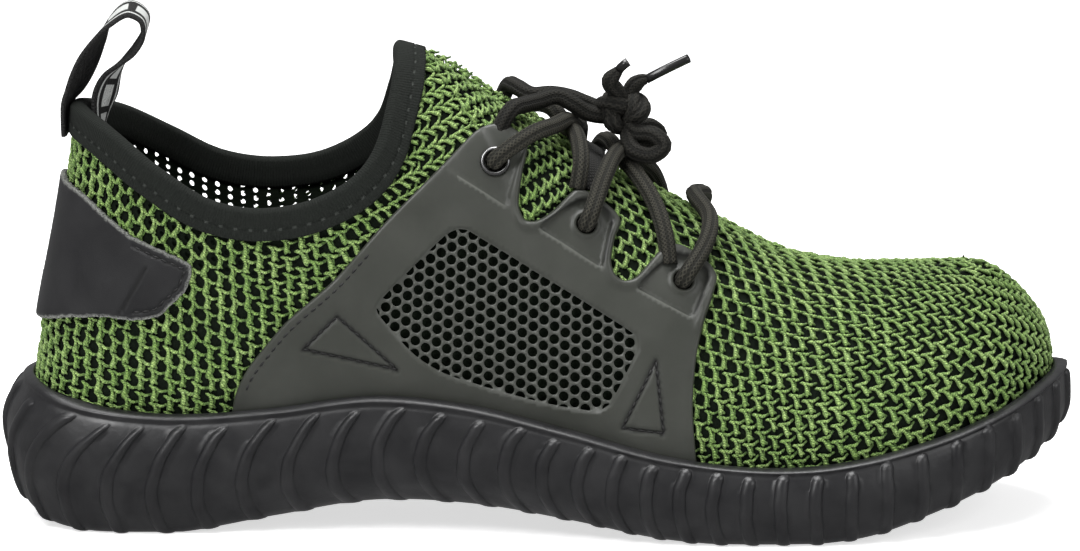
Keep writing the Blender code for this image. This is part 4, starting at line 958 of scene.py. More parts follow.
def thicken(near, far, triangles, turned):
    """Closed solid between two layers with the same triangles."""
    triangles = triangles[:, ::-1] if turned else triangles
    count = len(near)
    a, b = triangles.ravel(), np.roll(triangles, -1, 1).ravel()
    lone = ~np.isin(a * count + b, b * count + a)
    a, b = a[lone], b[lone]
    walls = np.stack([b, a, a + count, b + count], -1)
    return np.concatenate([far, near]), [triangles, triangles[:, ::-1] + count, walls]


def filled(low, high, step, keep_off):
    """Staggered points over a box, clear of the points already there."""
    x, z = np.meshgrid(np.arange(low[0], high[0], step), np.arange(low[1], high[1], step * 0.87))
    x = x + 0.5 * step * (np.arange(len(x)) % 2)[:, None]
    spots = np.stack([x.ravel(), z.ravel()], -1)
    cells = {}
    for p in keep_off:
        cells.setdefault((int(p[0] / step), int(p[1] / step)), []).append(p)
    free = []
    for p in spots:
        i, k = int(p[0] / step), int(p[1] / step)
        close = [q for a in (-1, 0, 1) for b in (-1, 0, 1) for q in cells.get((i + a, k + b), ())]
        if all((p[0] - q[0]) ** 2 + (p[1] - q[1]) ** 2 > (0.55 * step) ** 2 for q in close):
            free.append(p)
    return np.array(free)


def meshed(outer, holes, given, step):
    """Flat sheet inside a loop, less its holes, through the given points and a grid clear of them."""
    grid = filled(outer.min(0), outer.max(0), step, np.concatenate([outer] + holes + [given]))
    keep = inside_of(*grid.T, outer)
    for shape in holes:
        box = ((grid >= shape.min(0)) & (grid <= shape.max(0))).all(1)
        keep[box] &= ~inside_of(*grid[box].T, shape)
    return cut_sheet(outer, holes, np.concatenate([given, grid[keep]]))


# The open band of the lining under the collar, with a hole in each stitch
HOLE = 1.55 * MM
HOLES_IN_STITCH = ((0.55, -1.20), (0.55, 1.10))
for side, word in SIDES:
    last = float(np.interp(front_station, FINE, RUNS[side]))
    columns = int(round(RUNS[side][-1] / STITCH_WIDE))
    wide = RUNS[side][-1] / columns
    turns = np.linspace(0, 2 * math.pi, 8, endpoint=False)
    ring = np.stack([np.cos(turns), np.sin(turns)], -1) * HOLE / 2
    holes = []
    columns_at = np.linspace(0, last, 120)
    tops = surface_of(columns_at, 0 * columns_at, side)[2]
    for k in range(columns):
        for j in STITCH_ROWS:
            base = STITCH_START + float(drift(k * wide, side)) + (j + 0.5 * (k % 2)) * STITCH_TALL
            for x, z in HOLES_IN_STITCH:
                run = k * wide + x * wide
                if not 1.5 * MM < run < last - 2 * MM:
                    continue
                drop = float(np.interp(run, columns_at, tops)) - (base + z * MM)
                if 6.2 * MM < drop < BAND_LOW - 2.2 * MM:
                    holes.append(np.array((run, drop)) + ring)
    s = np.linspace(0, last, int(last / (1.4 * MM)))
    t = np.linspace(0, BAND_LOW, 15)
    loop = np.concatenate([
        np.stack([s, 0 * s], -1), np.stack([0 * t + last, t], -1)[1:],
        np.stack([s[::-1], 0 * s + BAND_LOW], -1)[1:], np.stack([0 * t, t[::-1]], -1)[1:-1],
    ])
    flat, triangles = meshed(loop, holes, np.empty((0, 2)), 1.5 * MM)
    place = np.interp(flat[:, 0], RUNS[side], FINE)
    top = climb(place, side)[0][:, -1]
    level = level_for(place, top - flat[:, 1], side)[0]
    layers = [skin_at(place, side, level, LINING_OUT - d)[0] for d in (LINING_THICK, 0.0)]
    make_piece("lining_band_" + word, *thicken(*layers, triangles, side > 0), LINING, smooth_faces=False)

# Moulded side panels
PANEL = Look("panel_moulding", (0.062, 0.065, 0.056), 0.42, Specular_IOR_Level=0.35)
# Broad lighter and darker patches over the moulding
broad_patches = PANEL.band(PANEL.noise(22 * MM, 5.0, 0.6), 0.35, 0.7)
base = PANEL.mix(broad_patches, (0.026, 0.028, 0.023), (0.038, 0.040, 0.034))
base = PANEL.mix(PANEL.attribute("net"), base, (0.046, 0.049, 0.042))
# Painted highlight: lighter along the lower edge of each sunk field
base = PANEL.mix(PANEL.attribute("painted_light"), base, (0.075, 0.079, 0.069))
# Painted shade: darker in the grooves round the sunk fields and along the sewn triangles
PANEL.colour(PANEL.mix(PANEL.attribute("groove_shade"), base, (0.006, 0.006, 0.006)))
PANEL.gloss(PANEL.band(PANEL.noise(9 * MM, 6.0, 0.65), 0.3, 0.75, 0.34, 0.52))
PANEL.relief(PANEL.noise(0.35 * MM, 2.0), 0.03 * MM, 0.5)
PANEL.relief(PANEL.noise(6 * MM, 2.0), 0.2 * MM, 0.35)
THREAD = Look("black_thread", (0.008, 0.008, 0.008), 0.6)
THREAD.relief(THREAD.noise(0.3 * MM, 2.0), 0.08 * MM, 0.8)

HEX_TALL, HEX_WIDE, HEX_HOLE = 3.46 * MM, 3.0 * MM, 2.78 * MM
HEX_LEAN = math.radians(8)
HEX_SIDES = 12
PANEL_TOP = PANEL_GAP + PANEL_THICKNESS
TAB_RIM = 2.6 * MM
# Side view shares: where the tabs begin, and the line of their feet
TAB_START = (0.475, 0.0)
TAB_FEET = ((0.48, 0.60), (0.66, 0.40))
# Sunk fields of the tabs, and how deep each is
FIELD_DEPTHS = (0.30 * MM, 0.80 * MM, 0.80 * MM)
TAB_FIELDS = (
    ((0.400, 0.772), (0.4264, 0.7374), (0.4714, 0.6751), (0.4836, 0.7758), (0.500, 0.90), (0.400, 0.90)),
    ((0.4985, 0.6367), (0.520, 0.668), (0.5379, 0.6856), (0.553, 0.674), (0.5660, 0.6458), (0.5576, 0.5530)),
    ((0.5876, 0.5137), (0.606, 0.548), (0.6222, 0.5721), (0.640, 0.560), (0.6550, 0.5304), (0.6401, 0.4514)),
)
SEWN_TRIANGLES = (
    ((0.3149, 0.4553), (0.2839, 0.3875), (0.3702, 0.3457)),
    ((0.6073, 0.3723), (0.6148, 0.2277), (0.5773, 0.2365)),
)
# Radii about an eyelet that the panel's faces follow
EYELET_RADII = (2.75 * MM, 2.95 * MM, 3.35 * MM, 3.8 * MM, 4.15 * MM)
# Stitches: pitch, length, radius and depth in the face
TRIANGLE_SEAM = (2.5 * MM, 1.7 * MM, 0.30 * MM, 0.35 * MM)
EDGE_SEAM = (2.6 * MM, 1.9 * MM, 0.36 * MM, 0.10 * MM)
# Where the seam along the panel's edge stays: behind, and between two heights
EDGE_SEAM_ROOM = ((0.0, 0.295), (0.345, 0.62))


def softened(corners, cut, step=0.55 * MM):
    """A closed outline of straight sides with its corners cut round."""
    corners = np.asarray(corners, float)
    points = []
    for before, here, after in zip(np.roll(corners, 1, 0), corners, np.roll(corners, -1, 0)):
        a = here + (before - here) * min(cut / np.linalg.norm(before - here), 0.45)
        b = here + (after - here) * min(cut / np.linalg.norm(after - here), 0.45)
        t = np.linspace(0, 1, 5)[:, None]
        points.append((1 - t) ** 2 * a + 2 * t * (1 - t) * here + t**2 * b)
        ahead = after + (here - after) * min(cut / np.linalg.norm(here - after), 0.45)
        number = int(np.linalg.norm(ahead - b) / step)
        if number > 1:
            points.append(b + (ahead - b) * np.linspace(0, 1, number + 1)[1:-1, None])
    return np.concatenate(points)


def line_through(corners, step, closed=True):
    """Even points along straight sides."""
    corners = np.asarray(corners, float)
    ends = np.roll(corners, -1, 0) if closed else corners[1:]
    points = []
    for a, b in zip(corners, ends):
        number = max(1, int(round(np.linalg.norm(b - a) / step)))
        points.append(a + (b - a) * np.linspace(0, 1, number, endpoint=False)[:, None])
    return np.concatenate(points)


def area_of(shape):
    """Area of a polygon, negative where it runs clockwise."""
    return 0.5 * np.sum(shape[:, 0] * np.roll(shape[:, 1], -1) - shape[:, 1] * np.roll(shape[:, 0], -1))


def moved_in(line, distance):
    """A closed loop moved sideways, to the inside for a positive distance."""
    run = unit(np.roll(line, -1, 0) - np.roll(line, 1, 0))
    return line + np.stack([-run[:, 1], run[:, 0]], -1) * math.copysign(distance, area_of(line))


def clipped(shape, window):
    """The part of a small polygon inside a convex loop."""
    turning = math.copysign(1, area_of(window))
    for a, b in zip(window, np.roll(window, -1, 0)):
        run = b - a
        away = ((shape[:, 1] - a[1]) * run[0] - (shape[:, 0] - a[0]) * run[1]) * turning
        if (away >= 0).all():
            continue
        kept = []
        for k in range(len(shape)):
            m = (k + 1) % len(shape)
            if away[k] >= 0:
                kept.append(shape[k])
            if (away[k] >= 0) != (away[m] >= 0):
                kept.append(shape[k] + (shape[m] - shape[k]) * away[k] / (away[k] - away[m]))
        shape = np.array(kept)
        if len(shape) < 3:
            return shape
    return shape


def spaced(shape, least):
    """A polygon without corners that nearly coincide."""
    kept = [shape[0]]
    for p in shape[1:]:
        if np.linalg.norm(p - kept[-1]) > least:
            kept.append(p)
    if len(kept) > 1 and np.linalg.norm(kept[0] - kept[-1]) <= least:
        kept.pop()
    return np.array(kept)


def on_side(x, z, side):
    """Station and level where side view points meet the upper."""
    places, levels = np.meshgrid(np.linspace(0.1, 0.85, 36), np.linspace(0, 0.98, 22), indexing="ij")
    spread = upper_point(places, side, levels)[..., ::2].reshape(-1, 2)
    want = np.stack([x, z], -1)
    parts = np.array_split(want, len(want) // 400 + 1)
    best = np.concatenate([((spread[None] - part[:, None]) ** 2).sum(-1).argmin(1) for part in parts])
    place, level = places.ravel()[best], levels.ravel()[best]
    for _ in range(6):
        here = upper_point(place, side, level)[:, ::2]
        by_place = (upper_point(place + 1e-4, side, level)[:, ::2] - here) / 1e-4
        by_level = (upper_point(place, side, level + 1e-4)[:, ::2] - here) / 1e-4
        miss = want - here
        scale = by_place[:, 0] * by_level[:, 1] - by_place[:, 1] * by_level[:, 0]
        scale = np.where(np.abs(scale) < 1e-7, 1e-7, scale)
        place = np.clip(place + (miss[:, 0] * by_level[:, 1] - miss[:, 1] * by_level[:, 0]) / scale, 0.02, 0.98)
        level = np.clip(level + (by_place[:, 0] * miss[:, 1] - by_place[:, 1] * miss[:, 0]) / scale, 0, 1)
    return place, level


def eyelet_seat(number, side):
    """Middle of an eyelet on the skin, its outward direction and two directions across it."""
    place, level = on_side(*in_metres(EYELETS[number : number + 1]).T, side)
    seat, _, _, out = (value[0] for value in skin_at(place, side, level, 0.0))
    across = np.cross(out, (0.0, 0.0, 1.0))
    across /= np.linalg.norm(across)
    return seat, out, across, np.cross(across, out)


def circle_on(across, up, count):
    turns = np.linspace(0, 2 * math.pi, count, endpoint=False)
    return np.cos(turns)[:, None] * across + np.sin(turns)[:, None] * up


def stitch_marks(path, normals, pitch, length, radius, sink=0.0):
    """Short thread stitches laid one after another along a path on a surface."""
    steps = lengths_along(path)
    points, faces, sides = [], [], 6
    shape = ((-0.5, 0.35, -0.6), (-0.38, 0.9, 0.0), (0.0, 1.0, 0.35), (0.38, 0.9, 0.0), (0.5, 0.35, -0.6))
    count = sides * len(shape)
    for start in np.arange(0.5 * pitch, steps[-1] - 0.3 * pitch, pitch):
        here = [read_off(path, steps, start + s * length) for s, _, _ in shape]
        up = read_off(normals, steps, start)
        up /= np.linalg.norm(up)
        run = here[-1] - here[0]
        run /= np.linalg.norm(run) + 1e-12
        across = np.cross(up, run)
        faces.append(tube_quads(len(shape), sides) + len(points))
        for spot, (_, wide, high_up) in zip(here, shape):
            for k in range(sides):
                turn = 2 * math.pi * k / sides
                points.append(spot + up * (radius * (high_up * 0.5 + wide * 0.7 * math.sin(turn)) - sink)
                              + across * radius * wide * math.cos(turn))
    caps = [tube_caps(len(shape), sides) + first for first in range(0, len(points), count)]
    return np.array(points), np.concatenate(faces), np.concatenate(caps)


def sew(name, rows, look):
    """One mesh of all the stitches of several rows."""
    points, quads, caps, start = [], [], [], 0
    for made, faces, ends in rows:
        points.append(made)
        quads.append(faces + start)
        caps.append(ends + start)
        start += len(made)
    return make_piece(name, np.concatenate(points), [np.concatenate(quads), np.concatenate(caps)], look)


FIELDS = [line_through(softened(in_metres(f), 1.6 * MM), 0.4 * MM) for f in TAB_FIELDS]
TRIANGLES = [line_through(in_metres(t), 0.7 * MM) for t in SEWN_TRIANGLES]


def honeycomb(window):
    """The open cells of the side field, cut off by its edge."""
    edge = moved_in(window, 0.35 * MM)
    low, top = window.min(0), window.max(0)
    turns = np.linspace(0, 2 * math.pi, HEX_SIDES, endpoint=False) + math.pi / HEX_SIDES
    cell = np.stack([np.cos(turns), np.sin(turns)], -1) * (1 + 0.05 * np.cos(6 * turns))[:, None] * HEX_HOLE / 2
    cells = []
    for k, x in enumerate(np.arange(low[0] - 5 * MM, top[0] + 5 * MM, HEX_WIDE)):
        lean = math.tan(HEX_LEAN * np.interp(x, (low[0], top[0]), (1, 0)))
        for j in range(-6, 24):
            z = low[1] + (j + 0.5 * (k % 2)) * HEX_TALL - lean * (x - low[0]) * 0.5
            centre = np.array((x + lean * (z - low[1]) * 0.5, z))
            if (np.abs(centre - (low + top) / 2) > (top - low) / 2 + 2 * MM).any():
                continue
            shape = centre + cell
            if not inside_of(*shape.T, edge).all():
                shape = clipped(shape, edge)
            if len(shape) > 2 and abs(area_of(shape)) > 0.7 * MM**2:
                shape = spaced(shape, 0.12 * MM)
                if len(shape) > 2:
                    cells.append(shape)
    return cells


CELLS = honeycomb(WINDOW_LINE)


def panel_sheet(side, eyes):
    """The panel's edge in side view, and its flat sheet with eyelet holes and open cells."""
    outer = line_through(PANEL_LINE, 0.75 * MM)
    near_lip = on_side(outer[:, 0], outer[:, 1] * 0 + 30 * MM, side)[0]
    tucked = smooth(SOLE_ROWS, LIP[side > 0], near_lip) * SOLE_HEIGHT - PANEL_TUCK
    outer[:, 1] = np.maximum(outer[:, 1], tucked)
    outer = spaced(outer, 0.3 * MM)
    holes, extra = [], [moved_in(outer, d * MM) for d in (0.16, 0.48, 0.95)]
    for seat, _, across, up in eyes:
        circle = circle_on(across, up, 28)
        rings = [(seat + circle * r)[:, ::2] for r in EYELET_RADII]
        holes.append(rings[0])
        extra += rings[1:]
    extra += [WINDOW_LINE, moved_in(WINDOW_LINE, 0.3 * MM)]
    extra += [moved_in(f, d * MM) for f in FIELDS for d in (-0.35, 0.0, 0.35)]
    extra += [moved_in(t, d * MM) for t in TRIANGLES for d in (-0.8, -0.4, 0.0, 0.4, 0.8)]
    given = np.concatenate(extra)
    keep = inside_of(*given.T, outer)
    for seat, _, _, _ in eyes:
        keep &= np.hypot(given[:, 0] - seat[0], given[:, 1] - seat[2]) >= 1.9 * MM
    return outer, *meshed(outer, holes + CELLS, given[keep], 0.95 * MM)


def panel_face(outer, x, z):
    """Height of the panel's face over its side view, and its shares of net, painted highlight line and groove with
    painted shade.
    """
    edge = distance_to_line(x, z, outer, True)
    lift = PANEL_TOP - 0.9 * MM * (1 - np.sqrt(np.clip(1 - (1 - np.minimum(edge / (0.95 * MM), 1)) ** 2, 0, 1)))
    in_tabs = np.clip((x - in_metres(TAB_START)[0]) / (3 * MM), 0, 1)
    in_tabs *= np.clip((z - np.interp(x, *in_metres(TAB_FEET).T)) / (4 * MM), 0, 1)
    lift += 0.65 * MM * in_tabs * np.clip(1 - ((edge - TAB_RIM / 2) / (TAB_RIM / 2)) ** 2, 0, 1)
    from_window = np.minimum(distance_to_line(x, z, WINDOW_LINE, True) / (0.3 * MM), 1)
    net = np.where(inside_of(x, z, WINDOW_LINE), from_window, 0)
    lift -= 0.5 * MM * net
    painted_light, groove_shade, sewn = (np.zeros(len(x)) for _ in range(3))
    for number, field in enumerate(FIELDS):
        away = distance_to_line(x, z, field, True)
        inner = inside_of(x, z, field)
        lift -= FIELD_DEPTHS[number] * np.where(inner, np.minimum(away / (0.35 * MM), 1), 0)
        a, b = in_metres(TAB_FIELDS[number])[[0 if number else 1, -1 if number else 2]]
        low_edge = distance_to_line(x, z, (a, b))
        # Painted highlight: a light line along the field's lower edge
        painted_light = np.maximum(painted_light, np.clip(1 - low_edge / (0.3 * MM), 0, 1))
        # Painted shade: a dark groove round the two lower fields, clear of their lower edge
        if number:
            round_field = 0.6 * np.clip(1 - away / (0.36 * MM), 0, 1)
            groove_shade = np.maximum(groove_shade, round_field * np.clip(low_edge / MM - 1, 0, 1))
    for line in TRIANGLES:
        sewn = np.maximum(sewn, np.clip(1 - distance_to_line(x, z, line, True) / (0.78 * MM), 0, 1))
    lift -= 0.55 * MM * np.minimum(sewn * 1.4, 1)
    # The groove share paints shade into the grooves round the fields and along the sewn lines
    return lift, {"net": net, "painted_light": painted_light, "groove_shade": np.minimum(np.maximum(groove_shade, sewn) * 1.3, 1)}


for side, word in SIDES:
    eyes = [eyelet_seat(number, side) for number in range(len(EYELETS))]
    outer, flat, faces = panel_sheet(side, eyes)
    x, z = flat[:, 0], flat[:, 1]
    lift, shares = panel_face(outer, x, z)
    place, level = on_side(x, z, side)
    spots = upper_point(place, side, level)
    for seat, _, across, up in eyes[1:]:
        radius = np.hypot((spots - seat) @ across, (spots - seat) @ up)
        lift += 0.45 * MM * np.clip(1 - ((radius - EYELET_RADII[2]) / (0.75 * MM)) ** 2, 0, 1)
    layers = [skin_at(place, side, level, height)[0] for height in (PANEL_GAP, lift)]
    points, made = thicken(*layers, faces, side > 0)
    both = {key: np.tile(value, 2) for key, value in shares.items()}
    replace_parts(make_piece("panel_dressed_" + word, points, made, PANEL, **both), "panel_" + word)
    lower = moved_in(outer, 2.3 * MM)
    (_, low), (front, top) = in_metres(EDGE_SEAM_ROOM)
    lower = lower[(lower[:, 0] < front) & (lower[:, 1] > low) & (lower[:, 1] < top)]
    lower = lower[lower[:, 1].argsort()]
    rows = []
    for line, seam in [(line, TRIANGLE_SEAM) for line in TRIANGLES] + [(lower, EDGE_SEAM)]:
        place, level = on_side(line[:, 0], line[:, 1], side)
        path, _, _, out = skin_at(place, side, level, PANEL_TOP)
        rows.append(stitch_marks(path, out, *seam))
    sew("panel_thread_" + word, rows, THREAD)

# Upper's skin for what is laid on it
skin_points, skin_faces = [], []
for side in (LATERAL, MEDIAL):
    grid = upper_point(np.linspace(0, 1, 240)[:, None], side, np.linspace(0, 1, 70)[None, :])
    skin_faces += grid_quads(240, 70, sum(len(p) for p in skin_points), turned=side < 0).tolist()
    skin_points.append(grid.reshape(-1, 3))
SKIN = BVHTree.FromPolygons(np.concatenate(skin_points).tolist(), skin_faces)


def skin_near(point):
    """Nearest point of the upper's skin and its outward normal."""
    place, normal, _, _ = SKIN.find_nearest(Vector(point))
    middle = Vector((place.x, 0.0, 0.4 * COLLAR_HEIGHT))
    return place, normal if normal.dot(place - middle) > 0 else -normal


# Heel counter: leather round the back with a raw, fuzzy edge
LEATHER = Look("counter_leather", (0.020, 0.020, 0.021), 0.5, Specular_IOR_Level=0.45)
fibres = LEATHER.noise(0.45 * MM, 5.0, 0.7)
raw_edge = LEATHER.attribute("raw")
raw = LEATHER.maths("MULTIPLY", raw_edge, LEATHER.band(fibres, 0.38, 0.52))
hide = LEATHER.mottled(12 * MM, 5.0, 0.35, 0.7, (0.006, 0.006, 0.007), (0.013, 0.013, 0.014))
# Painted shade: darker in the crease and along the seam groove
hide = LEATHER.mix(LEATHER.attribute("groove_shade"), hide, (0.004, 0.004, 0.004))
LEATHER.colour(LEATHER.mix(raw, hide, (0.20, 0.205, 0.19)))
LEATHER.gloss(LEATHER.band(raw, 0, 1, 0.48, 0.95))
LEATHER.relief(LEATHER.band(LEATHER.cells(0.55 * MM, "DISTANCE_TO_EDGE"), 0, 0.10), 0.05 * MM, 0.35)
LEATHER.relief(LEATHER.maths("MULTIPLY", fibres, raw_edge), 0.5 * MM, 0.9)

COUNTER_TOP = COUNTER_GAP + COUNTER_THICKNESS
COUNTER_SEAM_IN = 2.2 * MM
COUNTER_SEAM_FROM = 0.128 * LENGTH - HEEL_CENTRE
COUNTER_SEAM = (2.7 * MM, 1.9 * MM, 0.32 * MM, 0.12 * MM)
CREASE_SEAM = (2.5 * MM, 1.7 * MM, 0.3 * MM, 0.30 * MM)
CREASE_AT = ((0.1416, 0.555), (0.1160, 0.4515))
SLOT_MIDDLE = 0.578 * COLLAR_HEIGHT
counter_fine = np.linspace(0, station(0.235), 260)
HEEL_LEVELS = np.linspace(0.02, 1, 90)
levels_fine = np.linspace(0.02, 1, 400)
half_loops, run_of = [], {}
for side in (MEDIAL, LATERAL):
    grid = upper_point(counter_fine[:, None], side, levels_fine[None, :])
    run_of[side] = lengths_along(grid[:, 200])
    inner = inside_of(grid[..., 0], grid[..., 2], COUNTER_LINE)
    has = inner.any(1)
    first, last = inner.argmax(1), inner.shape[1] - 1 - inner[:, ::-1].argmax(1)
    s = run_of[side][has] * -side
    low_z = grid[np.arange(len(grid)), first, 2][has]
    top_z = grid[np.arange(len(grid)), last, 2][has]
    half_loops.append((np.stack([s, low_z], -1), np.stack([s, top_z], -1)))
(medial_low, medial_top), (lateral_low, lateral_top) = half_loops
counter_loop = np.concatenate([medial_top[::-1], lateral_top[1:], lateral_low[::-1], medial_low[1:]])
counter_loop = spaced(counter_loop, 0.6 * MM)
slot_corners = np.array([(-1, -1), (1, -1), (1, 1), (-1, 1)]) * COUNTER_SLOT / 2
slot = softened(slot_corners + (0, SLOT_MIDDLE), 1.2 * MM)
counter_loop = counter_loop + random.normal(0, 0.10 * MM, counter_loop.shape)
extra = np.concatenate(
    [moved_in(counter_loop, d * MM) for d in (0.18, 0.5, 0.9, 1.9, 2.3, 2.7)]
    + [moved_in(slot, sign * d * MM) for d in (0.18, 0.5) for sign in (1, -1)]
)
extra = extra[inside_of(*extra.T, counter_loop) & ~inside_of(*extra.T, slot)]
flat, faces = meshed(counter_loop, [slot], extra, 0.7 * MM)


def on_heel(flat, lift):
    """Points and outward directions for spots on the unrolled heel."""
    made, outs = np.zeros((len(flat), 3)), np.zeros((len(flat), 3))
    for side in (LATERAL, MEDIAL):
        own = (flat[:, 0] * -side > 0) | ((flat[:, 0] == 0) & (side < 0))
        if not own.any():
            continue
        place = np.interp(np.abs(flat[own, 0]), run_of[side], counter_fine)
        heights = upper_point(place[:, None], side, HEEL_LEVELS[None, :])[..., 2]
        level = np.array([np.interp(z, h, HEEL_LEVELS) for z, h in zip(flat[own, 1], heights)])
        made[own], _, _, outs[own] = skin_at(place, side, level, np.broadcast_to(lift, len(flat))[own])
    return made, outs


rim_off = distance_to_line(flat[:, 0], flat[:, 1], counter_loop, True)
edge = np.minimum(rim_off, distance_to_line(flat[:, 0], flat[:, 1], slot, True))
raw = np.clip(1.15 - edge / (0.75 * MM), 0, 1)
view = on_heel(flat, 0.0)[0]
crease = distance_to_line(view[:, 0], view[:, 2], in_metres(CREASE_AT))
sewn = np.clip(1 - np.abs(rim_off - COUNTER_SEAM_IN) / (0.45 * MM), 0, 1) * (view[:, 0] > COUNTER_SEAM_FROM)
# Painted shade: the groove share darkens the crease and the seam groove, which it also sinks
groove_shade = np.maximum(np.clip(1 - crease / (0.55 * MM), 0, 1), 0.8 * sewn)
lift = COUNTER_TOP - 0.45 * MM * (1 - np.sqrt(1 - (1 - np.minimum(edge / (0.9 * MM), 1)) ** 2))
lift = lift - 0.4 * MM * groove_shade + 0.25 * MM * np.exp(-((crease / (2.5 * MM)) ** 2))
points, made = thicken(on_heel(flat, COUNTER_GAP)[0], on_heel(flat, lift)[0], faces, False)
shares = {"raw": np.tile(raw, 2), "groove_shade": np.tile(groove_shade, 2)}
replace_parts(make_piece("heel_counter_leather", points, made, LEATHER, **shares), "heel_counter")
rows = []
for side in (LATERAL, MEDIAL):
    seam = moved_in(counter_loop, COUNTER_SEAM_IN)
    x = on_heel(seam, 0.0)[0][:, 0]
    seam = seam[(seam[:, 0] * -side > 0) & (x > COUNTER_SEAM_FROM)]
    spread = seam - seam.mean(0)
    order = np.unwrap(np.arctan2(spread[:, 1], spread[:, 0] * -side) + math.pi)
    seam = seam[(order % (2 * math.pi)).argsort()]
    path, out = on_heel(seam, COUNTER_TOP)
    rows.append(stitch_marks(path, out, *COUNTER_SEAM))
    a, b = in_metres(CREASE_AT)
    down = a + (b - a) * np.linspace(0, 1, 20)[:, None]
    place, level = on_side(down[:, 0], down[:, 1], side)
    path, _, _, out = skin_at(place, side, level, COUNTER_TOP)
    rows.append(stitch_marks(path, out, *CREASE_SEAM))
sew("counter_thread", rows, THREAD)

# Collar binding: ribbed tape folded over the rim, with its stitches
TAPE = Look("binding_tape", (0.008, 0.009, 0.008), 0.95, Specular_IOR_Level=0.15)
nap = TAPE.noise(0.4 * MM, 4.0, 0.7)
dot_at = TAPE.maths("PINGPONG", TAPE.attribute("along"), 1.85 * MM)
dot_off = TAPE.away(TAPE.attribute("down"), 0.585 * BINDING_WIDTH)
dots = TAPE.maths("MULTIPLY", TAPE.band(dot_at, 0.7 * MM, 0.3 * MM), TAPE.band(dot_off, 0.5 * MM, 0.2 * MM))
TAPE.relief(TAPE.maths("SUBTRACT", 1.0, dots), 0.35 * MM, 0.9)
cloth = TAPE.mix(TAPE.band(nap, 0.3, 0.7), (0.005, 0.006, 0.005), (0.014, 0.016, 0.014))
TAPE.colour(TAPE.mix(TAPE.maths("MULTIPLY", dots, 0.7), cloth, (0.05, 0.055, 0.05)))
TAPE.relief(TAPE.wave(TAPE.attribute("along"), 0.75 * MM), 0.10 * MM, 0.55)
TAPE.relief(nap, 0.10 * MM, 0.5)

rim = [(p, LATERAL) for p in np.linspace(front_station, 0, 190)]
rim += [(p, MEDIAL) for p in np.linspace(0, front_station, 190)[1:-1]]
rim_points = np.array([upper_point(p, s, 1.0) for p, s in rim])
closed_rim = np.concatenate([rim_points, rim_points[:1]])
around = lengths_along(closed_rim)
even = np.linspace(0, around[-1], 420, endpoint=False)
rim_points = read_off(closed_rim, around, even)
tangents = unit(np.roll(rim_points, -5, 0) - np.roll(rim_points, 5, 0))
BAND_OUT = CLEARANCE + BINDING_THICKNESS
BAND_IN = -WALL - BAND_OUT
# Tape's outer face: share of BINDING_WIDTH down from the rim | share of BAND_OUT
TAPE_FACE = (
    (1.0, 0.35), (0.985, 0.8), (0.93, 1.0), (0.8, 1.0), (0.62, 1.0), (0.60, 0.86), (0.57, 0.86), (0.55, 1.0),
    (0.4, 1.0), (0.2, 1.03), (0.0, 1.05),
)
section = [(BAND_OUT * out, down * BINDING_WIDTH) for down, out in TAPE_FACE]
middle_lift, half_thick = (BAND_OUT + BAND_IN) / 2, (BAND_OUT - BAND_IN) / 2
for turn in np.linspace(0, math.pi, 9)[1:-1]:
    section.append((middle_lift + half_thick * math.cos(turn), -1.5 * MM * math.sin(turn)))
section += [(BAND_IN, s * BINDING_WIDTH) for s in (0.0, 0.3, 0.6, 0.9)] + [(BAND_IN + 0.7 * MM, BINDING_WIDTH)]
band_points = []
for point, tangent in zip(rim_points, tangents):
    point, tangent = Vector(point), Vector(tangent)
    normal = skin_near(point)[1]
    inward = tangent.cross(normal).normalized()
    aims = [point + inward * sign * BINDING_WIDTH for sign in (1, -1)]
    below = [skin_near(aim)[0] for aim in aims]
    if (aims[0] - below[0]).length > (aims[1] - below[1]).length:
        inward = -inward
    for lift, down in section:
        if down < 0:
            band_points.append(point + inward * down + normal * lift)
            continue
        place, out = skin_near(point + inward * down)
        band_points.append(place + out * lift)
count = len(section)
band_points = np.array(band_points).reshape(len(rim_points), count, 3)
for _ in range(3):
    band_points = 0.5 * band_points + 0.25 * (np.roll(band_points, 1, 0) + np.roll(band_points, -1, 0))
down_outside = np.tile([down if lift > 0 else -1.0 for lift, down in section], len(rim_points))
binding = make_piece("binding_folded", band_points.reshape(-1, 3), tube_quads(len(rim_points), count, closed=True),
                     TAPE, along=np.repeat(even, count), down=down_outside)
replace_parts(binding, "collar_binding")

# Pull loop: webbing with two pale edge lines and a row of plain dashes
# along LENGTH, across BALL_WIDTH, up COLLAR_HEIGHT, turn of the tape in degrees
PULL_LAID = (
    (0.0590, 0.000, 0.800, 0), (0.0592, 0.000, 0.835, -2), (0.0618, 0.000, 0.868, -8),
    (0.0690, 0.000, 0.897, -17), (0.0756, 0.000, 0.928, -21), (0.0824, 0.000, 0.960, -20),
    (0.0909, 0.000, 0.995, -12), (0.1010, 0.000, 1.032, 2), (0.1218, 0.000, 1.062, 10),
    (0.1335, 0.000, 1.044, 6), (0.1331, 0.000, 1.012, -2), (0.1246, 0.000, 0.978, -4),
    (0.1115, 0.000, 0.948, 4), (0.1022, 0.000, 0.920, 18), (0.0960, 0.000, 0.880, 24),
    (0.0925, 0.000, 0.845, 14), (0.0915, 0.000, 0.805, 0),
)
WEB = Look("loop_webbing", (0.006, 0.006, 0.006), 0.85, Specular_IOR_Level=0.15)
web_along, web_across, face = (WEB.attribute(word) for word in ("along", "across", "face"))
from_middle = WEB.maths("ABSOLUTE", web_across)
weave = WEB.maths("MULTIPLY", WEB.wave(web_along, 0.9 * MM), WEB.wave(web_across, 1.1 * MM))
stripe = WEB.band(WEB.away(from_middle, 5.0 * MM), 0.55 * MM, 0.30 * MM)
dash = WEB.maths("MULTIPLY", WEB.band(WEB.maths("PINGPONG", web_along, 4.2 * MM), 0.9 * MM, 1.1 * MM),
                 WEB.band(from_middle, 2.7 * MM, 2.4 * MM))
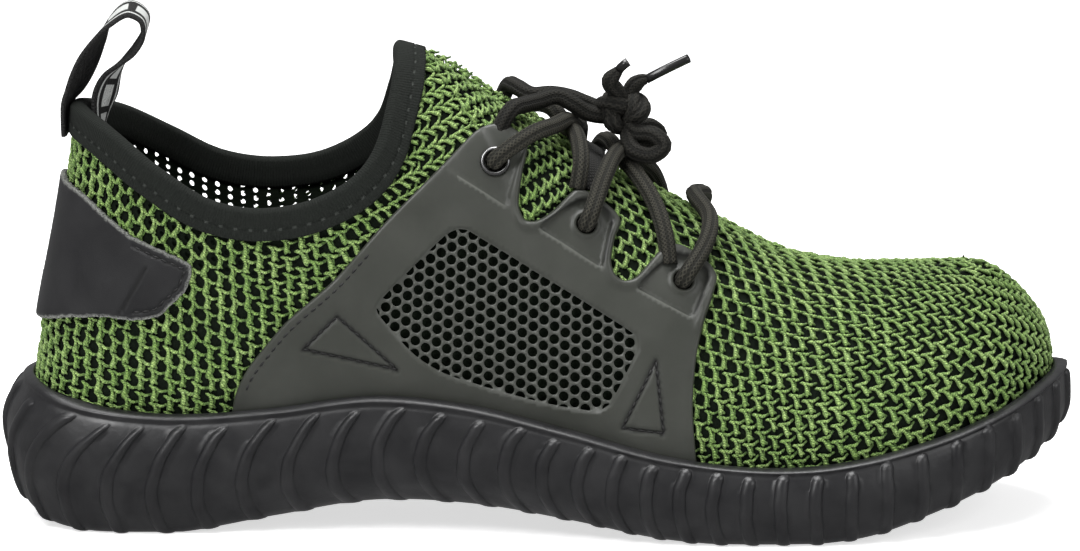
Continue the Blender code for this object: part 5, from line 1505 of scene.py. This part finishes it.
dyed = WEB.mottled(0.5 * MM, 3.0, 0.3, 0.7, (0.008, 0.008, 0.008), (0.022, 0.022, 0.022))
WEB.colour(WEB.mix(WEB.maths("MULTIPLY", WEB.maths("MAXIMUM", stripe, dash), face), dyed, (0.42, 0.43, 0.42)))
WEB.relief(weave, 0.14 * MM, 0.8)
pull = curve_through([(*at_shares([row])[0], math.radians(row[3])) for row in PULL_LAID], 150)
run, _, _ = frames(pull[:, :3])
steps = lengths_along(pull[:, :3])
half_wide, half_thick = LOOP_WIDTH / 2, LOOP_THICKNESS / 2
across_steps = np.linspace(-1, 1, 15)
profile = [(s * half_wide, half_thick * (1 - 0.5 * abs(s) ** 8)) for s in across_steps]
profile += [(s * half_wide, -half_thick * (1 - 0.5 * abs(s) ** 8)) for s in across_steps[::-1]]
points, along, across = [], [], []
for point, direction, turn, at in zip(pull[:, :3], run, pull[:, 3], steps):
    wide = np.array((0.0, 1.0, 0.0)) * math.cos(turn) + np.cross(direction, (0.0, 1.0, 0.0)) * math.sin(turn)
    thick = np.cross(direction, wide)
    for a, b in profile:
        points.append(point + wide * a + thick * b)
        along.append(at)
        across.append(a)
count = len(profile)
faces = [tube_quads(len(pull), count), tube_caps(len(pull), count)]
outer_face = np.tile([float(b > 0) for _, b in profile], len(pull))
loop_piece = make_piece("pull_webbing", points, faces, WEB, along=along, across=across, face=outer_face)
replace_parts(loop_piece, "pull_loop")

# Insole: a soft pad with a rounded edge
PAD = Look(
    "insole_fabric", (0.016, 0.016, 0.017), 0.95, Specular_IOR_Level=0.2, Sheen_Weight=0.1, Sheen_Roughness=0.5
)
PAD.relief(PAD.cells(0.9 * MM), 0.15 * MM, 0.6)
PAD_COLUMNS = 90
PAD_INSET = FEATHER_INSET + WALL + 4 * CLEARANCE
PAD_ROUND = (0.35, 0.7, 0.93, 1.0)
pad_places = np.linspace(0.06, 0.94, PAD_COLUMNS)
pad_sides = [outline(pad_places, side) - outward(pad_places, side) * PAD_INSET for side in (LATERAL, MEDIAL)]
floor_height = smooth(SOLE_ROWS, FLOOR, pad_places) * SOLE_HEIGHT + CLEARANCE
shares = np.concatenate([[0, 0.012, 0.035], np.linspace(0.07, 0.93, 19), [0.965, 0.988, 1]])
rounding = np.interp(np.minimum(shares, 1 - shares), (0, 0.012, 0.035, 0.07), PAD_ROUND)
from_tips = np.minimum(np.arange(PAD_COLUMNS), PAD_COLUMNS - 1 - np.arange(PAD_COLUMNS))
ends_round = np.interp(from_tips, (0, 1, 2, 4), PAD_ROUND)
plan = pad_sides[0][:, None] * (1 - shares[None, :, None]) + pad_sides[1][:, None] * shares[None, :, None]
thick = INSOLE_THICKNESS * np.minimum(rounding[None, :], ends_round[:, None])
layers = [high(plan, floor_height[:, None] + rise).reshape(-1, 3) for rise in (0 * thick, thick)]
pad = make_piece("insole_pad", *thicken(*layers, halves(grid_quads(PAD_COLUMNS, len(shares))), False), PAD)
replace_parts(pad, "insole")

# Metal rings of the top eyelets
METAL = Look("eyelet_metal", (0.16, 0.16, 0.16), 0.22, Metallic=1.0)
METAL.gloss(METAL.band(METAL.noise(1.5 * MM, 3.0), 0.3, 0.7, 0.18, 0.34))
RING_LOW = PANEL_TOP + 0.05 * MM
RING_COLUMNS = 48
hole, outer_ring = EYELET_HOLE / 2, EYELET_RING / 2
profile = [(hole, -1.6 * MM), (hole, 0.35 * MM)]
for turn in np.linspace(math.pi, 0, 9):
    radius = (hole + outer_ring) / 2 + (outer_ring - hole) / 2 * math.cos(turn)
    profile.append((radius, 0.15 * MM + 0.75 * MM * math.sin(turn)))
profile += [(outer_ring, 0.0), (hole + 0.4 * MM, 0.0), (hole + 0.4 * MM, -1.6 * MM)]
for side, word in SIDES:
    seat, out, across, rise = eyelet_seat(0, side)
    circle = circle_on(across, rise, RING_COLUMNS)
    points = np.stack([seat + out * (RING_LOW + up) + circle * r for r, up in profile], 1)
    quads = tube_quads(RING_COLUMNS, len(profile), closed=True)
    ring = make_piece("eyelet_rolled_" + word, points.reshape(-1, 3), quads, METAL)
    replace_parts(ring, "eyelet_ring_" + word)


# Laces
def cord_look(name, low, high):
    """Braided cord with six sunken lines, in two tones: painted light on the braid's crests, painted shade in its
    hollows and in the sunken lines.
    """
    look = Look(name, high, 0.85, Specular_IOR_Level=0.25)
    along, around = (look.attribute(word) for word in ("along", "around"))
    twist = []
    for sign in (1, -1):
        wound = look.maths("MULTIPLY", along, sign * 2 * math.pi / (1.1 * MM))
        twist.append(look.maths("SINE", look.maths("ADD", wound, look.maths("MULTIPLY", around, 12.0))))
    braid = look.maths("MAXIMUM", *twist)
    line_off = look.maths("ABSOLUTE", look.maths("SINE", look.maths("MULTIPLY", around, 3.0)))
    lines = look.maths("MULTIPLY", look.band(line_off, 0.75, 0.30), 0.85)
    # Painted light and shade: lighter on the braid's crests, darker in its hollows
    cloth = look.mix(look.band(braid, 0.0, 1.0), low, high)
    # Painted shade in the six sunken lines
    look.colour(look.mix(lines, cloth, low))
    look.relief(lines, -0.25 * MM, 0.8)
    look.relief(braid, 0.10 * MM, 0.8)
    look.relief(look.noise(0.3 * MM, 3.0), 0.06 * MM, 0.5)
    return look


CORD = cord_look("lace_cord", (0.008, 0.008, 0.006), (0.034, 0.032, 0.024))
# A darker copy of the lace's look for the knot, its wraps, the leads and the bow loops: painted shade
SHADED_CORD = cord_look("bow_cord_shaded", (0.004, 0.004, 0.003), (0.015, 0.014, 0.011))
PLASTIC = Look("lace_tip", (0.006, 0.006, 0.006), 0.25, Specular_IOR_Level=0.5)
LACE_SIDES = 24
LACE_STEP = 0.8 * MM


def even_path(rows, step=LACE_STEP):
    """Even points along the smooth curve through given points."""
    dense = curve_through(rows, 400)
    steps = lengths_along(dense)
    return read_off(dense, steps, np.linspace(0, steps[-1], max(4, int(steps[-1] / step))))


def lace(name, path, radius=LACE / 2, look=CORD, closed=False, tip=0.0):
    """A braided cord with six shallow lines along it, drawn in at its tip where one is given."""
    if closed:
        path = np.concatenate([path[-3:], path, path[:3]])
    run, across, other = frames(path)
    if closed:
        path, across, other = path[3:-3], across[3:-3], other[3:-3]
    turns = np.linspace(0, 2 * math.pi, LACE_SIDES, endpoint=False)
    sunk = 1 - 0.08 * np.exp(-((np.sin(3 * turns) / 0.45) ** 2))
    wide, tall = np.cos(turns) * sunk, np.sin(turns) * sunk
    ring = wide[None, :, None] * across[:, None] + tall[None, :, None] * other[:, None]
    along = lengths_along(path)
    taper = np.interp(along[-1] - along, (0.0, 3.2 * MM), (tip / radius, 1.0)) if tip else np.ones(len(path))
    points = path[:, None] + ring * radius * taper[:, None, None]
    faces = [tube_quads(len(path), LACE_SIDES, closed)]
    if not closed:
        faces.append(tube_caps(len(path), LACE_SIDES))
    return make_piece(name, points.reshape(-1, 3), faces, look, along=np.repeat(along, LACE_SIDES),
                      around=np.tile(turns, len(path)))


def on_skin(rows):
    """Points over the upper: seated on its normal up to one lace, and straight up past that."""
    placed = []
    for x, y, lift in rows:
        start = Vector((x * LENGTH - HEEL_CENTRE, y * BALL_WIDTH, 2 * COLLAR_HEIGHT))
        hit, normal = SKIN.ray_cast(start, Vector((0, 0, -1)))[:2]
        normal = normal if normal.z > 0 else -normal
        placed.append(hit + normal * min(lift, 1) * LACE + Vector((0, 0, 1)) * max(lift - 1, 0) * LACE)
    return [np.array(p) for p in placed]


def through_eyelet(number, side):
    """Points from the inside of an eyelet out through it."""
    seat, out, _, _ = eyelet_seat(number, side)
    return [seat + out * depth * MM for depth in (-1.6, 0.6, 2.6)]


def run_back(rows, share, lift):
    """A row before the first one, further along the same way."""
    (x, y, _), (next_x, next_y, _) = rows[:2]
    return (x + (x - next_x) * share, y + (y - next_y) * share, lift)


bar = through_eyelet(2, LATERAL) + on_skin(BAR_PATH)[1:-1] + through_eyelet(2, MEDIAL)[::-1]
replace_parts(lace("lace_bar_laid", even_path(bar)), "lace_bar")
for number, (word, pair) in enumerate((("low", LOW_CROSS), ("high", HIGH_CROSS))):
    strands = []
    for strand, rows, side in zip(("first", "second"), pair, (MEDIAL, LATERAL)):
        path = on_skin([run_back(rows, 0.8, 0.15)]) + on_skin(rows)[:-1] + through_eyelet(1 - number, side)[::-1]
        strands.append(lace("lace_" + word + "_" + strand, even_path(path)))
    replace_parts(strands[0], "lace_cross_" + word)

# Knot: the lace wound through itself
knot_centre = at_shares([KNOT_PLACE])[0]
turns = np.linspace(0, 2 * math.pi, 120, endpoint=False)
trefoil = (np.sin(turns) + 2 * np.sin(2 * turns), np.cos(turns) - 2 * np.cos(2 * turns), -np.sin(3 * turns))
knot_room = np.array(KNOT_SIZE) - (2.3 * MM, 2.0 * MM, 2.0 * MM)
knot_line = np.stack(trefoil, -1)[:, [0, 2, 1]] / (3.0, 1.0, 3.0) * knot_room + knot_centre
knot = lace("knot_wound", knot_line, LACE / 2, SHADED_CORD, closed=True)
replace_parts(knot, "lace_knot")
wraps = []
for number, (shift, lean) in enumerate(((-3.2, -0.25), (2.6, 0.30))):
    sway = shift * MM + 1.8 * MM * lean * np.sin(turns)
    ring = np.stack([sway, 3.6 * MM * np.cos(turns), 3.3 * MM * np.sin(turns)], -1)
    wraps.append(lace("knot_wrap_" + str(number), ring + knot_centre, LACE / 2, SHADED_CORD, closed=True))

# Free cords: from the top eyelets through the knot to the tips, and the two small loops
tips = {}
for word, rows in (("short", SHORT_AGLET), ("long", LONG_AGLET)):
    tips[word] = lace("tip_" + word, even_path(at_shares(rows), 1.0 * MM), AGLET / 2, PLASTIC)
    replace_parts(tips[word], "aglet_" + word)


def free_cord(name, rows, tip=0.0):
    path = even_path(rows)
    piece = lace(name, path, look=SHADED_CORD, tip=tip)
    return piece


for word, rows, tip, end_rows, tip_rows, also in (
    ("near", LEADS[0], "short", SHORT_END, SHORT_AGLET, [knot] + wraps),
    ("far", LEADS[1], "long", LONG_END, LONG_AGLET, []),
):
    x, y, _ = rows[0]
    under = on_skin([(x - 0.010, y * 1.62, -1.1), (x - 0.0055, y * 1.32, -0.15)])
    end = list(at_shares(end_rows)) + [at_shares(tip_rows)[0]]
    piece = free_cord("lace_" + word, under + on_skin(rows) + [knot_centre] + end,
                      1.1 * AGLET / 2)
    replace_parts(piece, "lace_lead_" + word, "lace_end_" + tip)
for word, rows in zip(("near", "far"), LOOPS):
    bow = list(at_shares(rows))
    back = knot_centre + np.array((1.5, bow[0][1] / MM * 0.5, -4.5)) * MM
    piece = free_cord("lace_bow_" + word, [knot_centre] + bow + [back])
    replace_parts(piece, "lace_loop_" + word)

# Keeper: a woven band over the laces
BAND = Look("keeper_band", (0.030, 0.030, 0.028), 0.85, Specular_IOR_Level=0.3)
band_along, band_across = (BAND.attribute(word) for word in ("along", "across"))
weave = BAND.maths("MULTIPLY", BAND.wave(band_along, 1.3 * MM), BAND.wave(band_across, 1.0 * MM))
# Painted light and shade: lighter on the weave's raised crossings, darker between them
BAND.colour(BAND.mix(BAND.band(weave, 0.1, 1.0), (0.014, 0.014, 0.013), (0.060, 0.060, 0.056)))
BAND.relief(weave, 0.2 * MM, 0.8)
low, top, across = KEEPER
KEEPER_LOW = 2.8 * CLEARANCE
KEEPER_GRID = (17, 61)
keeper_layers = []
for lift in (KEEPER_LOW, KEEPER_LOW + KEEPER_THICKNESS):
    spots = [
        (x, y, lift / LACE) for x in np.linspace(low, top, KEEPER_GRID[0])
        for y in np.linspace(-across, across, KEEPER_GRID[1])
    ]
    keeper_layers.append(np.array(on_skin(spots)))
triangles = halves(grid_quads(*KEEPER_GRID))
along, across = keeper_layers[1][:, 0], keeper_layers[1][:, 1]
keeper = make_piece("keeper_woven", *thicken(*keeper_layers, triangles, False), BAND,
                    along=np.tile(along, 2), across=np.tile(across, 2))
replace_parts(keeper, "lace_keeper")

# Floor and light
WHITE = (1.0, 1.0, 1.0, 1.0)
floor_look = Look("floor", (0.86, 0.86, 0.86), 0.6, Emission_Color=WHITE, Emission_Strength=0.65)
floor = make_piece("floor", [(-3, -3, 0), (3, -3, 0), (3, 4, 0), (-3, 4, 0)], [[(0, 1, 2, 3)]], floor_look,
                   rides=False)
floor.visible_glossy = False
world = bpy.data.worlds.new("studio")
world.use_nodes = True
backdrop = world.node_tree.nodes["Background"].inputs
backdrop["Color"].default_value = WHITE
backdrop["Strength"].default_value = 0.3
bpy.context.scene.view_settings.view_transform = "Standard"
bpy.context.scene.world = world
for name, place, size, power in (
    ("key", (-0.45, -0.75, 0.95), 0.5, 11.0),
    ("top", (0.05, 0.10, 1.2), 0.8, 22.0),
    ("side", (0.9, -0.5, 0.6), 0.5, 3.0),
):
    light = bpy.data.lights.new(name, "AREA")
    light.energy = power
    light.size = size
    lamp = bpy.data.objects.new(name, light)
    lamp.location = place
    lamp.rotation_euler = (AIM - Vector(place)).to_track_quat("-Z", "Y").to_euler()
    bpy.context.scene.collection.objects.link(lamp)
